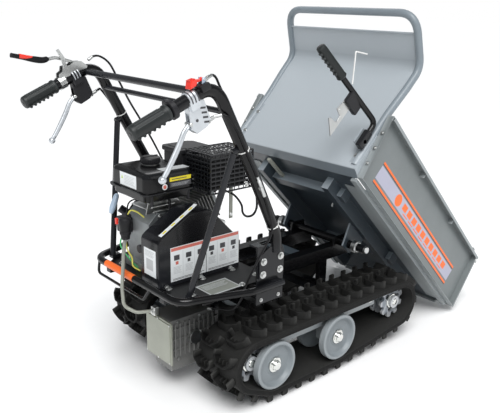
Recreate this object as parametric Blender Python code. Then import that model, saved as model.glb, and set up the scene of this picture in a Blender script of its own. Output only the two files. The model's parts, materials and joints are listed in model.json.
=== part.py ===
"""Tracked power wheelbarrow with a tipping box, modelled as an assembly of separate parts.

All sizes and places below are in millimetres; the mesh helpers turn them into metres.
+X points forward, to the end where the box tips, +Y to the operator's left, +Z up, and the
ground is z = 0. Until the last step x = 0 is the rear road roller's axle. The box and all that
is fixed to it are drawn level, and then tipped about the dump pivot by DUMP_ANGLE.
"""
import math

import bmesh
import bpy
from mathutils import Matrix, Vector

MM = 0.001
GAP = 0.3                      # clearance between parts that touch
SIDES = {"left": 1.0, "right": -1.0}

# Tracks: a belt of TRACK_PITCH runs round a sprocket, two road rollers and a front idler
TRACK_PITCH = 60.0
TRACK_INNER = 148.0            # distance of the belt's inner edge from the centre plane
TRACK_WIDTH = 188.0
BELT_THICK = 20.0
LUG_HEIGHT = 26.0
WHEEL_PLANE = 262.0            # middle of the sprocket and the idler
ROLLER_RADIUS = 79.0
ROLLER_X = {"rear": 0.0, "front": 286.0}
ROLLER_Z = ROLLER_RADIUS + BELT_THICK + LUG_HEIGHT
END_RADIUS = 66.0              # belt's inner radius round the sprocket and the idler
SPROCKET = (-78.0, 148.0)
IDLER = (612.0, 148.0)
TEETH = 9
GEARBOX_REACH = {"left": 52.0, "right": 105.0}     # where the sprockets' shafts meet the gearbox
LUG_WIDTH = 18.0
BEAM = (236.0, 294.0)          # inner and outer face of a track frame's beam
OUTER_STRETCH = 1.04             # the links are counted on the belt's outer face

# Frame, deck and dump pivot
RAIL_Y = 92.0
RAIL_TOP = 340.0
DECK_TOP = 370.0
DECK_THICK = 5.0
BUMPER_Z = 379.0
BUMPER_RADIUS = 11.0
MOUNT_Y = 281.0                # middle of the plates that the handles are bolted to
CROSS_TUBES = (143.0, 430.0)
PIVOT = (515.0, 350.0)
PIVOT_RADIUS = 15.0

# Box, level, measured from the rear edge of its floor
DUMP_ANGLE = 45.2
BED_REAR = PIVOT[0] - 318.0
BED_Z = PIVOT[1] + 103.0
BED_LENGTH = 872.0
FLOOR_HALF = 274.0
SIDE_Y = 302.0                 # middle of a side panel's sheet
SIDE_HEIGHT = 227.0
SIDE_REAR = (10.0, 46.0)       # a side's rear edge passes the floor's by this much, below and above
FRONT_LEAN = 28.0
LATCH_BACK = 26.0              # the gate latch's pin, from the side's front top corner
LATCH_RISE = 9.0
SIDE_FLANGE = 21.0
SHEET = 2.5
PANEL_BACK = 36.0              # the rear panel stands this far behind the floor's rear edge
PANEL_HEIGHT = 438.0           # where the rear panel bends back to the operator
PANEL_BEND = 58.5
LOOP_LENGTH = 180.0
LOOP_RADIUS = 13.0
LEVER_PIVOT = (BED_REAR - 65.0, BED_Z + 100.0)
GATE_HEIGHT = 212.0
GATE_DEPTH = 17.0

# Handles and controls
HANDLE_RADIUS = 17.0
GRIP_RADIUS = 19.5
HANDLE_PATH = [(-458.0, 296.0, 888.0), (-222.0, 303.0, 987.0), (-90.0, 301.0, 742.0), (20.0, 286.5, 535.0),
               (24.0, 286.5, 480.0)]
CABLE_RADIUS = 3.4

# Engine
CRANK = (-110.0, 481.0)
PULLEY_Y = -52.0
GEAR_SHAFT = (-75.0, 312.0)
ENGINE_PULLEY_RADIUS = 42.0
GEAR_PULLEY_RADIUS = 38.0
DRIVE_BELT_THICK = 9.0

MATERIALS = {
    "black_paint": ((0.015, 0.015, 0.016), 0.25, 0.0),
    "grey_paint": ((0.42, 0.46, 0.48), 0.35, 0.0),
    "wheel_paint": ((0.33, 0.35, 0.36), 0.45, 0.0),
    "zinc": ((0.62, 0.60, 0.52), 0.35, 1.0),
    "olive_zinc": ((0.38, 0.37, 0.28), 0.45, 0.6),
    "aluminium": ((0.62, 0.64, 0.66), 0.4, 1.0),
    "cast_alloy": ((0.42, 0.43, 0.43), 0.55, 0.8),
    "black_plastic": ((0.02, 0.02, 0.022), 0.5, 0.0),
    "rubber": ((0.018, 0.018, 0.018), 0.75, 0.0),
    "tyre": ((0.022, 0.022, 0.021), 0.8, 0.0),
    "red_plastic": ((0.75, 0.05, 0.03), 0.4, 0.0),
    "grey_plastic": ((0.50, 0.56, 0.62), 0.4, 0.0),
}


# ---------------------------------------------------------------- mesh helpers

def clear_scene():
    for item in list(bpy.data.objects):
        bpy.data.objects.remove(item, do_unlink=True)


def material(name):
    found = bpy.data.materials.get(name)
    if found:
        return found
    colour, roughness, metallic = MATERIALS[name]
    made = bpy.data.materials.new(name)
    made.use_nodes = True
    shader = made.node_tree.nodes["Principled BSDF"]
    shader.inputs["Base Color"].default_value = (*colour, 1.0)
    shader.inputs["Roughness"].default_value = roughness
    shader.inputs["Metallic"].default_value = metallic
    made.diffuse_color = (*colour, 1.0)
    return made


def skin(points, faces):
    """A closed mesh from points and faces, its faces turned outwards."""
    mesh = bmesh.new()
    made = [mesh.verts.new(Vector(point) * MM) for point in points]
    for face in faces:
        mesh.faces.new([made[index] for index in face])
    bmesh.ops.recalc_face_normals(mesh, faces=mesh.faces)
    return mesh


def block(low, high):
    """An upright box between two corners."""
    points = [(x, y, z) for x in (low[0], high[0]) for y in (low[1], high[1]) for z in (low[2], high[2])]
    return skin(points, [(0, 1, 3, 2), (4, 6, 7, 5), (0, 4, 5, 1), (2, 3, 7, 6), (0, 2, 6, 4), (1, 5, 7, 3)])


def prism(outline, start, end, axis="y"):
    """A flat outline swept along one axis. The outline lies in (x, z), (y, z) or (x, y)."""
    def lift(point, height):
        first, second = point
        return {"y": (first, height, second), "x": (height, first, second), "z": (first, second, height)}[axis]
    count = len(outline)
    points = [lift(p, start) for p in outline] + [lift(p, end) for p in outline]
    faces = [tuple(range(count)), tuple(range(2 * count - 1, count - 1, -1))]
    faces += [(i, (i + 1) % count, count + (i + 1) % count, count + i) for i in range(count)]
    return skin(points, faces)


def turned(profile, centre, axis="y", sides=16):
    """A solid of revolution. The profile is (radius, position along the axis); it starts and ends at
    radius 0, which closes it with a flat face or with a point."""
    rings = [pair for pair in profile if pair[0] > 0]
    points = []
    for radius, place in rings:
        for step in range(sides):
            angle = 2 * math.pi * step / sides
            first, second = radius * math.cos(angle), radius * math.sin(angle)
            offset = {"y": (first, place, second), "x": (place, first, second), "z": (first, second, place)}[axis]
            points.append(tuple(c + o for c, o in zip(centre, offset)))
    last = (len(rings) - 1) * sides
    faces = [tuple(range(sides)), tuple(range(last + sides - 1, last - 1, -1))]
    for ring in range(len(rings) - 1):
        for step in range(sides):
            a, b = ring * sides + step, ring * sides + (step + 1) % sides
            faces.append((a, b, b + sides, a + sides))
    return skin(points, faces)


def rod(start, end, radius, sides=10):
    """A round bar between two points."""
    return tube([start, end], radius, sides=sides)


def rounded(points, bend, steps=3):
    """The polyline with each corner replaced by an arc of about the given radius."""
    path = [Vector(points[0])]
    for before, corner, after in zip(points, points[1:], points[2:]):
        before, corner, after = Vector(before), Vector(corner), Vector(after)
        back, ahead = (before - corner), (after - corner)
        reach = min(bend * math.tan((math.pi - back.angle(ahead)) / 2), 0.45 * back.length, 0.45 * ahead.length)
        enter, leave = corner + back.normalized() * reach, corner + ahead.normalized() * reach
        for step in range(steps + 1):
            t = step / steps
            path.append((1 - t) ** 2 * enter + 2 * t * (1 - t) * corner + t * t * leave)
    path.append(Vector(points[-1]))
    return path


def smooth(points, step=20.0):
    """Points on a smooth curve through the given points, about one step apart."""
    knots = [Vector(point) for point in points]
    knots = [2 * knots[0] - knots[1]] + knots + [2 * knots[-1] - knots[-2]]
    path = []
    for a, b, c, d in zip(knots, knots[1:], knots[2:], knots[3:]):
        count = max(1, round((c - b).length / step))
        for index in range(count):
            t = index / count
            path.append(0.5 * (2 * b + (c - a) * t + (2 * a - 5 * b + 4 * c - d) * t * t
                               + (3 * b - a - 3 * c + d) * t ** 3))
    path.append(knots[-2])
    return path


def tube(points, radius, bend=0.0, sides=10, radii=None):
    """A round bar along a path, closed at both ends; radii can taper it."""
    path = rounded(points, bend) if bend else [Vector(point) for point in points]
    radii = radii or [radius] * len(path)
    heading = (path[1] - path[0]).normalized()
    across = heading.orthogonal().normalized()
    rings = []
    for index, point in enumerate(path):
        before = path[max(index - 1, 0)]
        after = path[min(index + 1, len(path) - 1)]
        turn = (after - before).normalized()
        across = (across - turn * across.dot(turn)).normalized()
        other = turn.cross(across)
        angles = [2 * math.pi * step / sides for step in range(sides)]
        rings.append([point + radii[index] * (math.cos(a) * across + math.sin(a) * other) for a in angles])
    points = [point for ring in rings for point in ring]
    last = (len(rings) - 1) * sides
    faces = [tuple(range(sides)), tuple(range(last + sides - 1, last - 1, -1))]
    for ring in range(len(rings) - 1):
        for step in range(sides):
            a, b = ring * sides + step, ring * sides + (step + 1) % sides
            faces.append((a, b, b + sides, a + sides))
    return skin(points, faces)


def arc(centre, radius, start, end, steps):
    """Points on an arc in degrees, both ends included."""
    angles = [math.radians(start + (end - start) * step / steps) for step in range(steps + 1)]
    return [(centre[0] + radius * math.cos(a), centre[1] + radius * math.sin(a)) for a in angles]


def belt_loop(wheels, extra, steps=6):
    """The outline of a belt round wheels given as (x, z, radius)."""
    cloud = []
    for x, z, radius in wheels:
        cloud += arc((x, z), radius + extra, 0, 360 * (1 - 1 / (4 * steps)), 4 * steps - 1)
    cloud.sort()
    hull = []
    for points in (cloud, cloud[::-1]):
        part = []
        for point in points:
            while len(part) > 1 and turn_of(part[-2], part[-1], point) <= 1e-6:
                part.pop()
            part.append(point)
        hull += part[:-1]
    return hull


def turn_of(a, b, c):
    return (b[0] - a[0]) * (c[1] - a[1]) - (b[1] - a[1]) * (c[0] - a[0])


def along(loop, distance):
    """The point and the heading at a distance along a closed outline."""
    closed = loop + loop[:1]
    for a, b in zip(closed, closed[1:]):
        length = math.hypot(b[0] - a[0], b[1] - a[1])
        if distance <= length:
            t = distance / length
            return (a[0] + (b[0] - a[0]) * t, a[1] + (b[1] - a[1]) * t), math.atan2(b[1] - a[1], b[0] - a[0])
        distance -= length
    return closed[-1], 0.0


def moved(mesh, matrix):
    bmesh.ops.transform(mesh, matrix=matrix, verts=mesh.verts)
    return mesh


def mirrored(mesh, side):
    """The same piece on the left (1) or, mirrored, on the right (-1)."""
    if side < 0:
        bmesh.ops.scale(mesh, vec=(1, -1, 1), verts=mesh.verts)
        bmesh.ops.reverse_faces(mesh, faces=mesh.faces)
    return mesh


def loose_object(mesh):
    data = bpy.data.meshes.new("piece")
    mesh.to_mesh(data)
    mesh.free()
    item = bpy.data.objects.new("piece", data)
    bpy.context.scene.collection.objects.link(item)
    return item


def make(name, solids, finish, parent, cuts=(), side=1.0, smooth_angle=35.0):
    """One named object: the solids joined, the cuts taken away, and set on its parent."""
    base = loose_object(mirrored(solids[0], side))
    others = [(loose_object(mirrored(mesh, side)), "UNION") for mesh in solids[1:]]
    others += [(loose_object(mirrored(mesh, side)), "DIFFERENCE") for mesh in cuts]
    for tool, operation in others:
        modifier = base.modifiers.new(operation.lower(), "BOOLEAN")
        modifier.operation = operation
        modifier.solver = "EXACT"
        modifier.object = tool
    shape = base
    if others:
        ready = base.evaluated_get(bpy.context.evaluated_depsgraph_get())
        data = bpy.data.meshes.new_from_object(ready)
        for tool, _ in others:
            bpy.data.objects.remove(tool, do_unlink=True)
        bpy.data.objects.remove(base, do_unlink=True)
        shape = bpy.data.objects.new(name, data)
        bpy.context.scene.collection.objects.link(shape)
    shape.name = name
    shape.data.name = name
    shape.data.materials.clear()
    shape.data.materials.append(material(finish))
    shape.data.shade_smooth()
    shape.data.set_sharp_from_angle(angle=math.radians(smooth_angle))
    hold(shape, parent)
    return shape


def hold(child, parent):
    """Parent without moving: every piece is drawn where it belongs on the machine."""
    child.parent = parent
    bpy.context.view_layer.update()
    child.matrix_parent_inverse = parent.matrix_world.inverted()


def axis_empty(name, place, parent):
    """An empty on a joint's axis, for the pieces that turn or slide on it."""
    empty = bpy.data.objects.new(name, None)
    empty.location = Vector(place) * MM
    bpy.context.scene.collection.objects.link(empty)
    bpy.context.view_layer.update()
    if parent:
        hold(empty, parent)
    return empty


# ---------------------------------------------------------------- tracks

def belt_wheels():
    wheels = [(*SPROCKET, END_RADIUS), (*IDLER, END_RADIUS)]
    return wheels + [(x, ROLLER_Z, ROLLER_RADIUS) for x in ROLLER_X.values()]


def track_belt(name, side, root):
    """Rubber belt: a smooth band with a row of bars across it."""
    inner = belt_loop(belt_wheels(), 0.0)
    outer = belt_loop(belt_wheels(), BELT_THICK)
    edges = (TRACK_INNER, TRACK_INNER + TRACK_WIDTH)
    band = prism(outer, *edges)
    hole = prism(inner, edges[0] - 5, edges[1] + 5)
    length = sum(math.dist(a, b) for a, b in zip(outer, outer[1:] + outer[:1]))
    links = round(length / (TRACK_PITCH * OUTER_STRETCH))
    lugs = bmesh.new()
    for link in range(links):
        (x, z), heading = along(outer, link * length / links)
        lug = block((-LUG_WIDTH / 2, edges[0] + 6, -3), (LUG_WIDTH / 2, edges[1] - 14, LUG_HEIGHT))
        moved(lug, Matrix.Translation((x * MM, 0, z * MM)) @ Matrix.Rotation(math.pi - heading, 4, "Y"))
        data = bpy.data.meshes.new("lug")
        lug.to_mesh(data)
        lug.free()
        lugs.from_mesh(data)
        bpy.data.meshes.remove(data)
    make(name, [band, lugs], "tyre", root, cuts=[hole], side=side, smooth_angle=25)


def road_roller(name, x, side, parent, inner_disc):
    """Dished disc with a domed hub cap, and on the front axle a second disc on the same sleeve."""
    rim, web, face, sleeve = ROLLER_RADIUS - 1.0, 60.0, 333.0, 15.0
    profile = [(0, face + 4), (10, face + 2), (14, face - 6), (24, face - 9), (web, face - 12),
               (web + 7, face), (rim, face), (rim, face - 25), (24, face - 20), (sleeve, face - 34)]
    if inner_disc:
        profile += [(sleeve, 226), (rim, 222), (rim, 200), (24, 200), (24, 190), (0, 190)]
    else:
        profile += [(sleeve, 232), (0, 232)]
    make(name, [turned(profile, (x, 0, ROLLER_Z), sides=16)], "wheel_paint", parent, side=side)


def toothed_disc(centre, low, high, root_radius, tip_radius):
    """A flat disc with pointed teeth."""
    outline = []
    for tooth in range(TEETH):
        for share, radius in ((0.0, root_radius), (0.5, tip_radius)):
            angle = 2 * math.pi * (tooth + share) / TEETH
            outline.append((centre[0] + radius * math.cos(angle), centre[1] + radius * math.sin(angle)))
    return prism(outline, low, high)


def toothed_wheel(name, centre, side, parent, shaft_in):
    """Two toothed discs on a sleeve with a domed hub cap; a driven one's shaft reaches inboard."""
    low, high = WHEEL_PLANE - 28, WHEEL_PLANE + 28
    hub = [(0, shaft_in), (16, shaft_in), (16, low - 12), (23, low - 12), (23, high + 12), (14, high + 13),
           (10, high + 17), (0, high + 17)]
    discs = [toothed_disc(centre, low, low + 9, 50, 63), toothed_disc(centre, high - 9, high, 50, 63)]
    make(name, [turned(hub, (centre[0], 0, centre[1]), sides=14)] + discs, "wheel_paint", parent, side=side)


def track_frame(name, side, root):
    """Box beam between the discs with a hanger for each roller's axle, and the belt tensioner.

    The tensioner is a threaded rod in the beam's end, whose eye holds the idler's sleeve."""
    low, high = BEAM
    solids = [block((-8, low, 168), (505, high, 210))]
    cuts = [turned([(0, 240), (23.6, 240), (23.6, 290), (0, 290)], (IDLER[0], 0, IDLER[1]))]
    for x in ROLLER_X.values():
        start = max(x - 24, -8.0)
        solids.append(block((start, WHEEL_PLANE - 16, 100), (x + 24, WHEEL_PLANE + 16, 172)))
        cuts.append(turned([(0, low - 9), (16, low - 9), (16, high + 9), (0, high + 9)], (x, 0, ROLLER_Z)))
    eye = turned([(0, 252), (34, 252), (34, 272), (0, 272)], (IDLER[0], 0, IDLER[1]))
    shank = tube([(490, 265, 182), (540, 265, 180), (592, 262, 156)], 9.5, bend=60, sides=8)
    nut = rod((503, 265, 182), (524, 265, 181), 17, sides=6)
    make(name, solids + [shank, nut, eye], "grey_paint", root, cuts=cuts, side=side)


def undercarriage(root):
    for name, side in SIDES.items():
        track_belt("track_belt_" + name, side, root)
        track_frame("track_frame_" + name, side, root)
        for place, x in ROLLER_X.items():
            axle = axis_empty(f"axis_roller_{place}_{name}", (x, side * 320, ROLLER_Z), root)
            road_roller(f"road_roller_{place}_{name}", x, side, axle, place == "front")
        axle = axis_empty("axis_sprocket_" + name, (SPROCKET[0], side * WHEEL_PLANE, SPROCKET[1]), root)
        toothed_wheel("drive_sprocket_" + name, SPROCKET, side, axle, GEARBOX_REACH[name])
        axle = axis_empty("axis_idler_" + name, (IDLER[0], side * WHEEL_PLANE, IDLER[1]), root)
        toothed_wheel("front_idler_" + name, IDLER, side, axle, WHEEL_PLANE - 44)


# ---------------------------------------------------------------- frame and deck

def chassis_frame(root):
    """Two rails with cross tubes out to the track frames, handle mounts and the dump pivot's shaft."""
    solids = []
    for side in (-1, 1):
        rail = sorted((side * (RAIL_Y - 20), side * (RAIL_Y + 20)))
        solids.append(block((-60, rail[0], RAIL_TOP - 46), (560, rail[1], RAIL_TOP)))
        plate = prism([(470, 300), (560, 300), (545, 372), (485, 372)], *sorted((side * 104, side * 112)))
        solids.append(plate)
        mount = sorted((side * (MOUNT_Y - 3), side * (MOUNT_Y + 3)))
        solids.append(prism([(-48, 322), (58, 322), (58, 472), (-48, 472)], *mount))
        for x in CROSS_TUBES:
            inner, outer = sorted((side * 92, side * 112))
            solids.append(block((x - 18, inner, 168), (x + 18, outer, RAIL_TOP - 40)))
    for x in CROSS_TUBES:
        solids.append(block((x - 18, -235.7, 168), (x + 18, 235.7, 204)))
    solids.append(block((-18, -MOUNT_Y, 322), (24, MOUNT_Y, DECK_TOP - DECK_THICK - GAP)))
    solids.append(turned([(0, -236), (11, -236), (11, -226), (PIVOT_RADIUS, -226), (PIVOT_RADIUS, 226), (11, 226),
                          (11, 236), (0, 236)], (PIVOT[0], 0, PIVOT[1])))
    solids += [block((-48, -284, 440), (-10, -278, 505)), block((-48, -284, 500), (-22, -246, 505)),
               block((-30, -268.8, 500), (54, -246, 505))]
    slot = block((-18, -265, 490), (42, -255, 515))
    make("chassis_frame", solids, "black_paint", root, cuts=[slot])


def deck(root):
    """Engine deck: a plate with folded edges and an opening for the drive belt."""
    edge = 232.0
    outline = [(-262, -190), (-205, -edge), (62, -edge), (62, edge), (-205, edge), (-262, 190)]
    plate = prism(outline, DECK_TOP - DECK_THICK, DECK_TOP, axis="z")
    skirt = prism([(-262, 345), (-256, 345), (-256, DECK_TOP - 1), (-262, DECK_TOP - 1)], -188, 188)
    skirts = [block((-205, side * edge - (6 if side > 0 else 0), 348), (-30, side * edge + (6 if side < 0 else 0),
                                                                     DECK_TOP - 1)) for side in (-1, 1)]
    opening = block((-175, -76, 340), (0, -28, 380))
    make("engine_deck", [plate, skirt] + skirts, "black_paint", root, cuts=[opening])


def bumper(root):
    """Tube round the deck, and the thin guard loop below its rear run."""
    path = [(44, -298, BUMPER_Z), (-75, -298, BUMPER_Z), (-290, -228, BUMPER_Z), (-290, 228, BUMPER_Z),
            (-75, 298, BUMPER_Z), (44, 298, BUMPER_Z)]
    rail = tube(path, BUMPER_RADIUS, bend=60, sides=8)
    solids = [rail]
    for side in (-1, 1):
        foot = sorted((side * (MOUNT_Y + 3 + GAP), side * 296))
        solids.append(block((5, foot[0], 368), (40, foot[1], 390)))
        solids.append(block((-292, side * 150 - 12, 352), (-262 - GAP, side * 150 + 12, 374)))
    solids.append(tube([(-291, 206, BUMPER_Z), (-296, 208, 334), (-296, -62, 334), (-291, -92, BUMPER_Z)], 4.5,
                       bend=16, sides=8))
    make("bumper_rail", solids, "black_paint", root)


# ---------------------------------------------------------------- gearbox and drive

def gearbox(root):
    """Ribbed case hung from the rails, with a tower for the input shaft and a bolted rear cover."""
    case = prism([(-228, 108), (-60, 108), (-38, 130), (-38, 200), (-70, 252), (-228, 252)], -96, 14)
    tower = block((-100, -30, 245), (-50, 12, 358))
    ribs = [block((x, -104, 125), (x + 5, -90, 240)) for x in range(-215, -120, 18)]
    skid = block((-222, -92, 78), (-120, 0, 109))
    axle_boss = turned([(0, -104), (30, -104), (30, 51), (0, 51)], (SPROCKET[0], 0, SPROCKET[1]))
    hangers = [block((-58, -96, 190), (-40, -76, 293)), block((-58, 8, 190), (-40, 96, 215)),
               block((-58, 76, 210), (-40, 96, 293))]
    input_bore = rod((GEAR_SHAFT[0], -40, GEAR_SHAFT[1]), (GEAR_SHAFT[0], 20, GEAR_SHAFT[1]), 10)
    make("gearbox_case", [case, tower, skid, axle_boss] + ribs + hangers, "cast_alloy", root, cuts=[input_bore])
    cover = prism([(-110, 110), (26, 110), (26, 246), (20, 252), (-104, 252), (-110, 246)], -238, -228 - GAP, axis="x")
    make("gearbox_cover", [cover], "olive_zinc", root)


def shift_lever(root):
    """Bent rod from the gearbox, round the bumper and up to a conical knob; it swings sideways."""
    pivot = axis_empty("axis_shift_lever", (-246, -42, 276), root)
    path = [(-246, -42, 276), (-288, -4, 268), (-316, 22, 288), (-317, 26, 350), (-317, 8, 470), (-317, -4, 520)]
    lever = tube(path, 5.5, bend=30, sides=6)
    joint = block((-254, -52, 262), (-238, -32, 290))
    knob = turned([(0, 512), (13, 512), (20, 566), (15, 579), (0, 579)], (-317, -5, 0), axis="z", sides=12)
    make("shift_lever", [joint, lever, knob], "olive_zinc", pivot)


def grooved_pulley(radius, width):
    """Profile of a pulley for a V-belt, from its middle plane."""
    half = width / 2
    return [(radius + 9, -half), (radius + 9, -half + 3), (radius - 1, -half + 6), (radius - 1, half - 6),
            (radius + 9, half - 3), (radius + 9, half)]


def belt_drive(root):
    """Engine pulley on the crankshaft, gearbox pulley, the V-belt and its tensioner."""
    place = (CRANK[0], PULLEY_Y, CRANK[1])
    axis = axis_empty("axis_engine_pulley", place, root)
    profile = [(0, -16)] + grooved_pulley(ENGINE_PULLEY_RADIUS, 26) + [(11, 13), (11, 69), (0, 69)]
    make("engine_pulley", [turned(profile, place)], "zinc", axis)
    place = (GEAR_SHAFT[0], PULLEY_Y, GEAR_SHAFT[1])
    axis = axis_empty("axis_gearbox_pulley", place, root)
    profile = [(0, -16)] + grooved_pulley(GEAR_PULLEY_RADIUS, 26) + [(9, 13), (9, 66), (0, 66)]
    make("gearbox_pulley", [turned(profile, place)], "zinc", axis)
    wheels = [(*CRANK, ENGINE_PULLEY_RADIUS), (*GEAR_SHAFT, GEAR_PULLEY_RADIUS)]
    band = prism(belt_loop(wheels, DRIVE_BELT_THICK), PULLEY_Y - 5.5, PULLEY_Y + 5.5)
    hole = prism(belt_loop(wheels, GAP), PULLEY_Y - 9, PULLEY_Y + 9)
    make("drive_belt", [band], "rubber", root, cuts=[hole])
    pivot = (20.0, 0.0, 388.0)
    axis = axis_empty("axis_belt_tensioner", pivot, root)
    arm = prism([(26, 380), (30, 396), (-6, 414), (-12, 400)], -39, -35)
    roller = turned([(0, -62), (16, -62), (16, -42), (6, -42), (6, -36), (0, -36)], (-2, 0, 405), sides=16)
    make("belt_tensioner", [arm, roller], "zinc", axis)


# ---------------------------------------------------------------- engine

def crankcase(root):
    case = prism([(-215, 392), (-60, 392), (-38, 420), (-38, 500), (-70, 548), (-190, 562), (-222, 530)], 18, 148)
    foot = block((-232, 26, DECK_TOP + GAP), (-22, 142, 394))
    boss = turned([(0, 13), (34, 13), (34, 30), (0, 30)], (CRANK[0], 0, CRANK[1]))
    filler = rod((-222, 40, 440), (-240, 40, 452), 11)
    bore = turned([(0, 0), (11.5, 0), (11.5, 18), (0, 18)], (CRANK[0], 0, CRANK[1]))
    make("crankcase", [case, foot, boss, filler], "cast_alloy", root, cuts=[bore])


def cylinder(root):
    """Finned cylinder and head, tilted forward off the crankcase, with the carburettor above."""
    start, reach = 78.0, 168.0
    solids = [block((start, 40, -34), (reach, 128, 34))]
    for index in range(8):
        place = start + 8 + index * 11
        solids.append(block((place, 22, -52), (place + 3.5, 144, 52)))
    solids.append(block((reach - 4, 34, -44), (reach + 16, 134, 44)))
    tilt = Matrix.Translation(Vector((CRANK[0], 0, CRANK[1])) * MM) @ Matrix.Rotation(math.radians(-25), 4, "Y")
    for mesh in solids:
        moved(mesh, tilt)
    spark_plug = rod((48, 84, 560), (92, 84, 580), 9)
    carburettor = block((-14, 100, 545), (30, 152, 611))
    make("engine_cylinder", solids + [spark_plug, carburettor], "aluminium", root,
         cuts=[block((-240, 10, 380), (-37.5, 160, 575))])


def fuel_tank(root):
    lower = [(-258, -22), (-76, -22), (-66, -10), (-66, 176), (-80, 186), (-246, 186), (-262, 170), (-262, -10)]
    upper = [(-250, -20), (-84, -20), (-78, -14), (-78, 170), (-90, 178), (-240, 178), (-254, 164), (-254, -14)]
    base = prism([(x * 0.86 - 23, y * 0.86 + 11) for x, y in lower], 606, 634, axis="z")
    flange = prism([(x * 1.02 + 3, y * 1.02 - 1) for x, y in lower], 633, 639, axis="z")
    body = prism(upper, 638, 690, axis="z")
    crown = prism([(x * 0.9 - 17, y * 0.9 + 8) for x, y in upper], 689, 697, axis="z")
    neck = turned([(0, 690), (24, 690), (24, 701), (0, 701)], (-160, 96, 0), axis="z")
    make("fuel_tank", [base, flange, body, crown, neck], "black_paint", root, smooth_angle=50)
    axis = axis_empty("axis_fuel_cap", (-160, 96, 712), root)
    cap = turned([(0, 701 + GAP), (30, 701 + GAP), (31, 716), (27, 721), (0, 721)], (-160, 96, 0), axis="z")
    make("fuel_cap", [cap, block((-186, 93, 716), (-134, 99, 724))], "black_plastic", axis)


def air_cleaner(root):
    body = prism([(-56, 74), (48, 74), (60, 90), (60, 170), (44, 184), (-48, 184), (-58, 170)], 646, 716, axis="z")
    lid = prism([(-62, 70), (54, 70), (66, 88), (66, 174), (48, 190), (-52, 190), (-64, 174)], 715, 733, axis="z")
    neck = rod((6, 128, 650), (6, 128, 611 + GAP), 16)
    make("air_cleaner", [body, lid, neck], "black_plastic", root)
    axis = axis_empty("axis_choke", (8, 152, 595), root)
    lever = block((2, 152 + GAP, 590), (12, 156, 632))
    make("choke_lever", [lever, rod((7, 150.2 + 3, 628), (7, 168, 628), 4)], "grey_plastic", axis)


def muffler(root):
    body = prism([(-34, 618), (96, 618), (106, 630), (106, 706), (92, 718), (-28, 718), (-38, 704)], -52, 48)
    pipe = tube([(60, 20, 622), (72, 30, 604), (76, 34, 598)], 15, bend=20)
    outlet = rod((96, -30, 700), (116, -30, 700), 9)
    make("muffler", [body, pipe, outlet], "black_paint", root)
    low, high, wall = (-50, -66, 612), (122, 60, 738), 3.0
    shell = block(low, high)
    hollow = block((low[0] + wall, low[1] + wall, low[2] - 5), (high[0] - wall, high[1] - wall, high[2] - wall))
    slots = [block((x, low[1] - 5, 640), (x + 14, low[1] + 8, 722)) for x in range(-36, 100, 26)]
    slots += [block((x, -52, 730), (x + 14, 46, 745)) for x in range(-36, 100, 26)]
    make("muffler_guard", [shell], "black_paint", root, cuts=[hollow] + slots)


def recoil_starter(root):
    centre = (CRANK[0], 0, CRANK[1])
    housing = turned([(0, 148 + GAP), (98, 148 + GAP), (98, 180), (88, 196), (40, 206), (36, 212), (0, 212)], centre,
                     sides=20)
    guide = rod((-190, 196, 520), (-208, 210, 536), 13)
    rope_bore = rod((-200, 203, 528), (-215, 216, 543), 4.5)
    make("recoil_starter", [housing, guide], "black_paint", root, cuts=[rope_bore])
    direction = Vector((-0.80, 0.22, 0.56)).normalized()
    start = Vector((-214, 213, 542))
    grip_axis = axis_empty("axis_recoil_grip", start, root)
    middle = start + direction * 14
    span = Vector((0.45, 0.12, 0.88)).normalized()
    grip = tube([middle - span * 32, middle - span * 10, middle + span * 14, middle + span * 36], 9,
                radii=[7.5, 11, 10, 7.5], sides=12)
    make("recoil_grip", [grip, rod(start + direction * 3, middle, 4)], "grey_plastic", grip_axis)


def engine_switch(root):
    box = block((-256, 106, 484), (-223, 150, 534))
    make("switch_box", [box, rod((-240, 128, 514), (-258, 128, 519), 13)], "black_plastic", root)
    axis = axis_empty("axis_engine_switch", (-259, 128, 519), root)
    make("engine_switch", [rod((-258.6, 128, 519.2), (-266, 128, 521.4), 8),
                           block((-272, 123, 514), (-264, 133, 534))], "red_plastic", axis)


def belt_cover(root):
    """Sheet cover over the belt drive: a humped hood, open below and towards the engine."""
    hood = [(-266, DECK_TOP + GAP), (-266, 512), (-252, 524), (-168, 572), (-146, 582), (-86, 582), (-68, 576),
            (36, 470), (43, 458), (43, DECK_TOP + GAP)]
    inner = [(-263, DECK_TOP - 10), (-263, 510), (-251, 521), (-167, 569), (-146, 579), (-86, 579), (-70, 573.5),
             (33.5, 468.5), (40, 457), (40, DECK_TOP - 10)]
    flange = [block((x, -113, DECK_TOP + GAP), (x + 30, -94, DECK_TOP + 3.5)) for x in (-257, -131, -14)]
    make("belt_cover", [prism(hood, -97, -8)] + flange, "black_paint", root, cuts=[prism(inner, -94, 0)])


# ---------------------------------------------------------------- handles and controls

def handle_tube(side, radius):
    """One handle tube; its enlarged copy, a little longer too, cuts the parts that clasp it."""
    path = [Vector((x, side * y, z)) for x, y, z in HANDLE_PATH]
    path[0] += (path[0] - path[1]).normalized() * (radius - HANDLE_RADIUS)
    return tube(path, radius, bend=60, sides=8)


def handle_frame(root):
    """Both handle tubes with their foot plates and the two crossbars between them."""
    solids = []
    for side in (-1, 1):
        solids.append(handle_tube(side, HANDLE_RADIUS))
        plate = sorted((side * (MOUNT_Y + 3 + GAP), side * (MOUNT_Y + 9)))
        solids.append(prism([(-44, 405), (54, 405), (54, 478), (44, 500), (-4, 500), (-44, 472)], *plate))
    solids.append(rod((-255, -300, 966), (-255, 300, 966), 10))
    solids.append(rod((-190, -302, 914), (-190, 302, 914), 8, sides=8))
    make("handle_frame", solids, "black_paint", root)


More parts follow.
